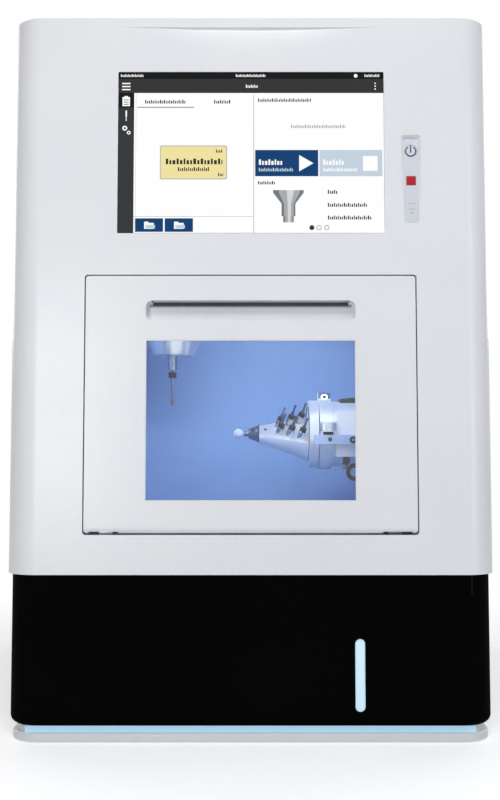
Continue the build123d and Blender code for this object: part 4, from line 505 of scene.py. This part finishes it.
# the rest bar's screw: a dark threaded neck, and a knurled head with rounded ends
form = bmesh.new()
lathe(form, [(0, 0), (4.3, 0), (4.3, 0.7), (4.6, 0.9), (4.3, 1.1), (4.6, 1.6), (4.3, 1.9),
             (4.3, 2.8), (0, 2.8)], (BAR_SCREW_X, BAR_Y, BAR_TOP), UP, 40, 1)
fluted(form, (BAR_SCREW_X, BAR_Y, 242.6), (BAR_SCREW_X, BAR_Y, BAR_SCREW_TOP), 6.85, 0.28)
lathe(form, [(0, 0), (6.2, 0), (6.6, 0.5), (6.6, 0.7), (0, 0.7)],
      (BAR_SCREW_X, BAR_Y, 241.9), UP, 64)
lathe(form, [(0, 0), (6.6, 0), (6.6, 0.5), (6.1, 1.2), (3.4, 1.2), (3.0, 0.9), (0, 0.9)],
      (BAR_SCREW_X, BAR_Y, BAR_SCREW_TOP), UP, 64)
# the clamp's screw, and two screws in the bar's face
cap_screw(form, (66.2, -138.0, 273.2), (0, -0.94, 0.34), 3.4, 2.6)
cap_screw(form, (68.0, -178.9, 235.2), TO_THE_FRONT, 1.7, 0.25, 1)
cap_screw(form, (87.6, -178.9, 235.0), TO_THE_FRONT, 2.9, 1.0, 1, 0)
finished("rest_bar_screws", form, "y_slide", [ground, stop_rubber_and_shade], 0.12)

# black guard over the barrel, lower at its left end, and a clip below the rest block
form = bmesh.new()
for vert in block(form, (80, -140, 262), (146, -118, 278)):
    if vert.co.x < 81 * MM and vert.co.z > 270 * MM:
        vert.co.z = 272.5 * MM
block(form, (80.3, -170, 214.8), (85.6, -160, 220.8))
# coolant ring, spun round the origin and then moved to its place
RING_R = 5.7
RING_WIRE_R = 1.9
wire = bmesh.ops.create_circle(form, segments=20, radius=RING_WIRE_R * MM)["verts"]
bmesh.ops.translate(form, vec=(RING_R * MM, 0, 0), verts=wire)
bmesh.ops.spin(
    form, geom=wire + list({edge for vert in wire for edge in vert.link_edges}),
    cent=(0, 0, 0), axis=(0, 1, 0), angle=2 * pi, steps=48, use_merge=True)
loop = [vert for vert in form.verts if vert.co.length < 9 * MM]
bmesh.ops.recalc_face_normals(form, faces=list(faces_of(loop)))
bmesh.ops.translate(form, vec=Vector((90.0, -168.0, 207.3)) * MM, verts=loop)
# its short fitting, with a hexagon nut
rod(form, (78.9, -166, 212.6), (84.6, -166, 212.6), 2.5, index=1)
rod(form, (80.4, -166, 212.6), (82.0, -166, 212.6), 3.1, sides=6, index=1)
finished("barrel_fittings", form, "y_slide", [nylon, ground], 0.3)


# Display, with places in mm right of and below its top left corner

DISPLAY_Y = FRONT_Y + 0.12
LAYER = 0.012
EDGE = 0.2
RIGHT_END = 212.0
BOTTOM_END = 130.7
HEADER_END = 17.3
RAIL_END = 12.7
PAGE_LEFT = 12.8
PAGE_SPLIT = 107.7
PAGE_RIGHT = 109.2
CORNER_R = 1.6


def flat_tone(name, colour, strength=1.0):
    """A lit area of the display behind its cover glass.

    The eye sees an even colour with the pixel grid's faint grain."""
    made = surface(name, "#060707", "#040405", (0.1, 0.14), 0.25, 0.0005,
                   fixed={"Specular IOR Level": 0.12})
    return glowing(made, colour, strength)


TONES = {
    "white": flat_tone("display_white", "#FDFDFD"),
    "black": flat_tone("display_black", "#141518", 0.4),
    "grey": flat_tone("display_header_grey", "#303033"),
    "rail": flat_tone("display_rail_grey", "#313337"),
    "mid": flat_tone("display_line_grey", "#B4B7BA"),
    "blue": flat_tone("display_button_blue", "#003C70"),
    "pale": flat_tone("display_button_pale", "#C2D1DD"),
    "card": flat_tone("display_card_yellow", "#EFE1A0"),
    "ink": flat_tone("display_ink", "#2A2A2C"),
    "steel": flat_tone("display_slate", "#56708A"),
    "metal": flat_tone("display_picture_grey", "#A8ABAE"),
    "shade": flat_tone("display_picture_shade", "#75787C"),
    "gleam": flat_tone("display_picture_gleam", "#D4D6D8"),
}
TONE_INDEX = {name: number for number, name in enumerate(TONES)}


def panel(form, left, top, right, bottom, tone, layer=1):
    """A flat area of the display."""
    y = DISPLAY_Y - LAYER * layer
    block(form, (SCREEN_LEFT + left, y, SCREEN_TOP - bottom),
          (SCREEN_LEFT + right, y + LAYER, SCREEN_TOP - top), TONE_INDEX[tone])


def disc(form, across, down, radius, tone, layer, sides=20):
    """A flat disc of the display."""
    y = DISPLAY_Y - LAYER * layer
    x, z = SCREEN_LEFT + across, SCREEN_TOP - down
    rod(form, (x, y, z), (x, y + LAYER, z), radius, sides, TONE_INDEX[tone])


def word(form, left, middle, right, height, tone, layer=3, bold=1.0):
    """A row of short strokes that stands where a line of text would be."""
    widths = (0.62, 0.5, 0.74, 0.56, 0.66, 0.46)
    heights = (1.0, 0.72, 0.72, 1.0, 0.72)
    x, number = left, 0
    while x < right:
        wide = min(height * widths[number % 6] * 0.5 * bold, right - x)
        tall = height * heights[number % 5]
        foot = middle + height / 2
        panel(form, x, foot - tall, x + wide, foot, tone, layer)
        x += wide + height * 0.2
        number += 1


form = bmesh.new()
block(form, (SCREEN_LEFT + EDGE, DISPLAY_Y, SCREEN_TOP - BOTTOM_END),
      (SCREEN_LEFT + RIGHT_END, FRONT_Y + 4.0, SCREEN_TOP - EDGE), TONE_INDEX["black"])
# header, side rail with its chosen tab, and the two pages with the lines between them
panel(form, EDGE, 5.7, RIGHT_END, HEADER_END, "grey")
panel(form, EDGE, HEADER_END, RAIL_END, BOTTOM_END, "rail")
panel(form, EDGE, HEADER_END, RAIL_END, 29.2, "black", 2)
panel(form, PAGE_LEFT, HEADER_END, PAGE_SPLIT, BOTTOM_END, "white")
panel(form, PAGE_RIGHT, HEADER_END, RIGHT_END, BOTTOM_END, "white")
panel(form, PAGE_SPLIT, HEADER_END, PAGE_RIGHT, BOTTOM_END, "white")
panel(form, 108.0, 19.0, 108.6, BOTTOM_END, "mid", 2)
panel(form, 14.2, 18.6, 14.5, 129.0, "pale", 2)
# status bar: three words and a dot
for left, right in ((2.0, 20.0), (94.0, 118.0), (197.0, 209.0)):
    word(form, left, 3.0, right, 2.2, "white", 2)
disc(form, 189.9, 3.2, 1.5, "white", 2)
# header: menu lines, dots and title
for down in (9.0, 11.5, 14.0):
    panel(form, 3.0, down, 9.7, down + 1.0, "white", 2)
for down in (9.4, 11.7, 14.0):
    disc(form, 205.4, down, 0.6, "white", 2, 12)
word(form, 102.0, 11.7, 111.5, 2.6, "white", 2)
# side rail icons: clipboard, cutter and two gears
panel(form, 3.4, 20.6, 9.4, 28.0, "white", 3)
panel(form, 5.0, 19.8, 7.8, 21.4, "white", 4)
for down in (22.6, 24.4, 26.2):
    panel(form, 4.4, down, 8.4, down + 0.6, "black", 4)
panel(form, 5.9, 31.6, 7.1, 36.4, "white", 3)
panel(form, 6.2, 36.4, 6.8, 40.2, "white", 3)
for across, down, radius in ((5.4, 46.0, 2.1), (8.6, 49.6, 1.6)):
    disc(form, across, down, radius, "white", 3, 8)
    disc(form, across, down, radius * 0.45, "rail", 4, 12)
# left page: two tabs, the first with its underline
word(form, 21.5, 24.4, 54.2, 3.0, "ink")
word(form, 76.6, 24.4, 90.1, 3.0, "ink")
panel(form, 15.2, 28.6, 60.6, 29.3, "steel", 3)
# job card with rounded corners, a grey rim and four lines
for inset, tone, layer in ((0.0, "mid", 2), (0.8, "card", 4)):
    left, top, right, bottom = 33.6 + inset, 60.0 + inset, 87.1 - inset, 87.6 - inset
    panel(form, left + CORNER_R, top, right - CORNER_R, bottom, tone, layer)
    panel(form, left, top + CORNER_R, right, bottom - CORNER_R, tone, layer)
    for across, down in ((left, top), (left, bottom), (right, top), (right, bottom)):
        disc(form, across + copysign(CORNER_R, 60 - across),
             down + copysign(CORNER_R, 74 - down), CORNER_R, tone, layer)
word(form, 38.3, 73.0, 83.4, 4.6, "ink", 5, 1.35)
word(form, 47.9, 79.2, 73.4, 3.2, "ink", 5)
word(form, 78.2, 64.6, 83.6, 2.6, "ink", 5)
word(form, 80.0, 83.6, 84.2, 2.6, "ink", 5)
# two buttons with folders on them
panel(form, PAGE_LEFT, 117.2, PAGE_SPLIT, 117.6, "mid", 2)
for left in (14.0, 37.7):
    panel(form, left, 118.9, left + 22.4, 129.8, "blue", 2)
    panel(form, left + 7.4, 121.6, left + 10.8, 123.0, "white", 3)
    panel(form, left + 7.4, 122.6, left + 15.0, 127.4, "white", 3)
    panel(form, left + 8.6, 124.2, left + 16.0, 127.0, "pale", 4)
# right page: heading and notice
word(form, 111.7, 23.1, 154.0, 2.8, "ink")
word(form, 138.0, 44.5, 181.5, 2.8, "metal")
# start and stop areas, each with two lines
panel(form, 109.4, 63.7, 159.6, 85.0, "blue", 2)
panel(form, 160.6, 63.7, 210.6, 85.0, "pale", 2)
word(form, 112.4, 73.6, 131.0, 4.4, "white", 3, 1.2)
word(form, 112.4, 79.6, 139.6, 2.8, "pale", 3)
word(form, 163.6, 73.6, 180.0, 4.4, "white", 3, 1.2)
word(form, 163.6, 79.6, 190.6, 2.8, "white", 3)
# stop square, and play triangle with its point to the right
panel(form, 195.2, 68.6, 206.8, 80.6, "white", 3)
middle = Vector((SCREEN_LEFT + 148.2, DISPLAY_Y - 2.5 * LAYER, SCREEN_TOP - 74.4))
half = Vector((0, LAYER / 2, 0))
bmesh.ops.rotate(
    form, cent=middle * MM, matrix=Matrix.Rotation(pi / 2, 3, "Y"),
    verts=rod(form, middle - half, middle + half, 7.6, 3, TONE_INDEX["white"]))
# picture of the tool's holder, in slices that narrow downwards, with a shaded edge on each side
word(form, 111.7, 90.2, 125.2, 2.8, "ink")
PICTURE_X = 135.8
PICTURE_TOP = 96.2
for step in range(26):
    down = PICTURE_TOP + step
    half = 12.2 if step < 2 else max(12.6 - 0.75 * (step - 1), 5.5 if step < 21 else 4.2)
    for start, end, tone, layer in (
            (-1, 1, "metal", 2), (-1, -0.62, "shade", 3), (-0.1, 0.35, "gleam", 3),
            (0.74, 1, "shade", 3)):
        panel(form, PICTURE_X + half * start, down, PICTURE_X + half * end, down + 1.0,
              tone, layer)
# the picture's three lines and the page dots
for middle, right in ((97.6, 174.7), (108.1, 198.2), (118.3, 201.8)):
    word(form, 167.1, middle, right, 3.2, "ink")
disc(form, 154.3, 126.4, 2.0, "ink", 3)
for across in (160.0, 166.2):
    disc(form, across, 126.4, 2.0, "ink", 3)
    disc(form, across, 126.4, 1.6, "white", 4)
screen_look = finished("touch_screen", form, "machine", list(TONES.values()))
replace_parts(screen_look, "screen_glass")


# Printed signs: power on its key, and contactless arcs on the channel's floor

def on_channel(form, z):
    """Moves a shape made flat round the origin onto the tilted channel at a height."""
    bmesh.ops.translate(form, vec=(0, -INK_PROUD * MM, 0), verts=form.verts)
    y = FRONT_Y + CHANNEL_DEPTH + (z - CHANNEL_Z) * tan(CHANNEL_TILT)
    place = Matrix.Translation(Vector((CHANNEL_X, y, z)) * MM)
    bmesh.ops.transform(
        form, matrix=place @ Matrix.Rotation(-CHANNEL_TILT, 4, "X"), verts=form.verts)


def arc_band(form, radius, width, start, end, centre_z=0, steps=18):
    """Adds a flat band that faces the front, along an arc between two angles from +X."""
    outwards = Vector((cos(start), 0, sin(start)))
    centre = Vector((0, 0, centre_z))
    pair = [form.verts.new((outwards * r + centre) * MM)
            for r in (radius - width / 2, radius + width / 2)]
    bmesh.ops.spin(
        form, geom=pair + [form.edges.new(pair)], cent=centre * MM, axis=TO_THE_FRONT,
        angle=end - start, steps=steps)


form = bmesh.new()
arc_band(form, 3.95, 1.0, radians(122), radians(418), -0.3, 40)
block(form, (-0.52, -0.01, -1.6), (0.52, 0.01, 4.7))
on_channel(form, POWER_SIGN_Z)
finished("power_sign", form, "power_button", [navy_ink])
form = bmesh.new()
arc_band(form, 3.4, 0.5, radians(35), radians(145))
arc_band(form, 7.6, 0.5, radians(67), radians(113))
arc_band(form, 0.5, 0.8, 0, 2 * pi)
on_channel(form, CONTACTLESS_SIGN_Z)
finished("contactless_sign", form, "machine", [pale_ink])


# Floor, light and camera, in metres

FLOOR_R = 3.0
FADE_START = 0.38
FADE_END = 0.62


def seen_rays(tree):
    """One for rays that come from the camera, a mirror or glass, and nought for the rest."""
    rays = add(tree, "LightPath", {})
    seen = add(tree, "Math", {0: rays.outputs["Is Camera Ray"], 1: rays.outputs["Is Glossy Ray"]},
               operation="MAXIMUM")
    return add(tree, "Math", {0: seen.outputs[0], 1: rays.outputs["Is Transmission Ray"]},
               operation="MAXIMUM").outputs[0]


floor_mesh = bpy.data.meshes.new("studio_floor")
form = bmesh.new()
bmesh.ops.create_circle(form, cap_ends=True, segments=64, radius=FLOOR_R)
form.to_mesh(floor_mesh)
form.free()
studio_floor = bpy.data.objects.new("studio_floor", floor_mesh)
bpy.context.collection.objects.link(studio_floor)
# matt white backdrop paper: near the machine it keeps the shadow, and further out it is plain
# white to the camera
white_paper = bpy.data.materials.new("white_paper")
white_paper.use_nodes = True
tree = white_paper.node_tree
shader = tree.nodes["Principled BSDF"]
shader.inputs["Base Color"].default_value = paint("#F4F4F5")
shader.inputs["Roughness"].default_value = 0.9
shader.inputs["Specular IOR Level"].default_value = 0.1
lift = add(tree, "Emission", {"Color": PLAIN_WHITE, "Strength": PAPER_LIFT})
near = add(tree, "AddShader", {0: shader.outputs[0], 1: lift.outputs[0]})
far = add(tree, "Emission", {"Color": PLAIN_WHITE, "Strength": 1.0})
place = add(tree, "TexCoord", {})
reach = add(tree, "VectorMath", {0: place.outputs["Object"]}, operation="LENGTH")
fade = add(tree, "MapRange", {
    "Value": reach.outputs["Value"], "From Min": FADE_START, "From Max": FADE_END})
paper = add(tree, "MixShader", {
    0: fade.outputs["Result"], 1: near.outputs[0], 2: far.outputs[0]})
choose = add(tree, "MixShader", {0: seen_rays(tree), 1: shader.outputs[0], 2: paper.outputs[0]})
tree.links.new(choose.outputs[0], tree.nodes["Material Output"].inputs["Surface"])
floor_mesh.materials.append(white_paper)

world = bpy.data.worlds.new("studio")
bpy.context.scene.world = world
world.use_nodes = True
tree = world.node_tree
sky = tree.nodes["Background"]
sky.inputs["Color"].default_value = paint("#EEF2F8")
sky.inputs["Strength"].default_value = SKY
backdrop = add(tree, "Background", {"Color": PLAIN_WHITE, "Strength": 1.0})
choose = add(tree, "MixShader", {
    0: seen_rays(tree), 1: sky.outputs[0], 2: backdrop.outputs[0]})
tree.links.new(choose.outputs[0], tree.nodes["World Output"].inputs["Surface"])


def softbox(name, place, aim, size, power, colour="#FFFFFF"):
    """An area light at a place, aimed at a point."""
    lamp = bpy.data.lights.new(name, "AREA")
    lamp.shape = "RECTANGLE"
    lamp.size, lamp.size_y = size
    lamp.energy = power
    lamp.color = paint(colour)[:3]
    made = bpy.data.objects.new(name, lamp)
    made.location = place
    made.rotation_euler = (Vector(aim) - Vector(place)).to_track_quat("-Z", "Y").to_euler()
    bpy.context.collection.objects.link(made)


# the front lamps stand where neither the display nor the window mirrors them
softbox("front_box", (0.06, -1.3, 1.55), (0.0, -0.25, 0.28), (0.6, 0.45), 12.0)
softbox("left_card", (-0.33, -1.05, 0.3), (-0.15, -0.25, 0.27), (0.2, 0.4), 1.75)
softbox("right_strip", (0.74, -0.82, 0.35), (0.18, -0.25, 0.3), (0.1, 0.9), 1.5, "#F2F6FF")
softbox("rear_left_box", (-1.3, 1.6, 1.3), (0.0, 0.0, 0.3), (1.7, 1.5), 15.0)
softbox("rear_right_box", (1.3, 1.6, 1.3), (0.0, 0.0, 0.3), (1.7, 1.5), 15.0)
# small lamp at the top of the milling space
softbox("chamber_glow", (0.0, -0.219, 0.345), (0.0, -0.1, 0.2), (0.17, 0.008), 0.4, "#F7FAFF")

CAMERA_PLACE = (-0.0005, -0.9903, 0.2171)
CAMERA_PITCH = 0.0640
LENS_MM = 42.64
SENSOR_MM = 36
camera = bpy.data.objects.new("camera", bpy.data.cameras.new("camera"))
camera.location = CAMERA_PLACE
camera.rotation_euler = (pi / 2 + CAMERA_PITCH, 0, 0)
camera.data.lens = LENS_MM
camera.data.sensor_width = SENSOR_MM
camera.data.clip_start = 0.01
bpy.context.collection.objects.link(camera)
bpy.context.scene.camera = camera
bpy.context.scene.view_settings.view_transform = "Standard"
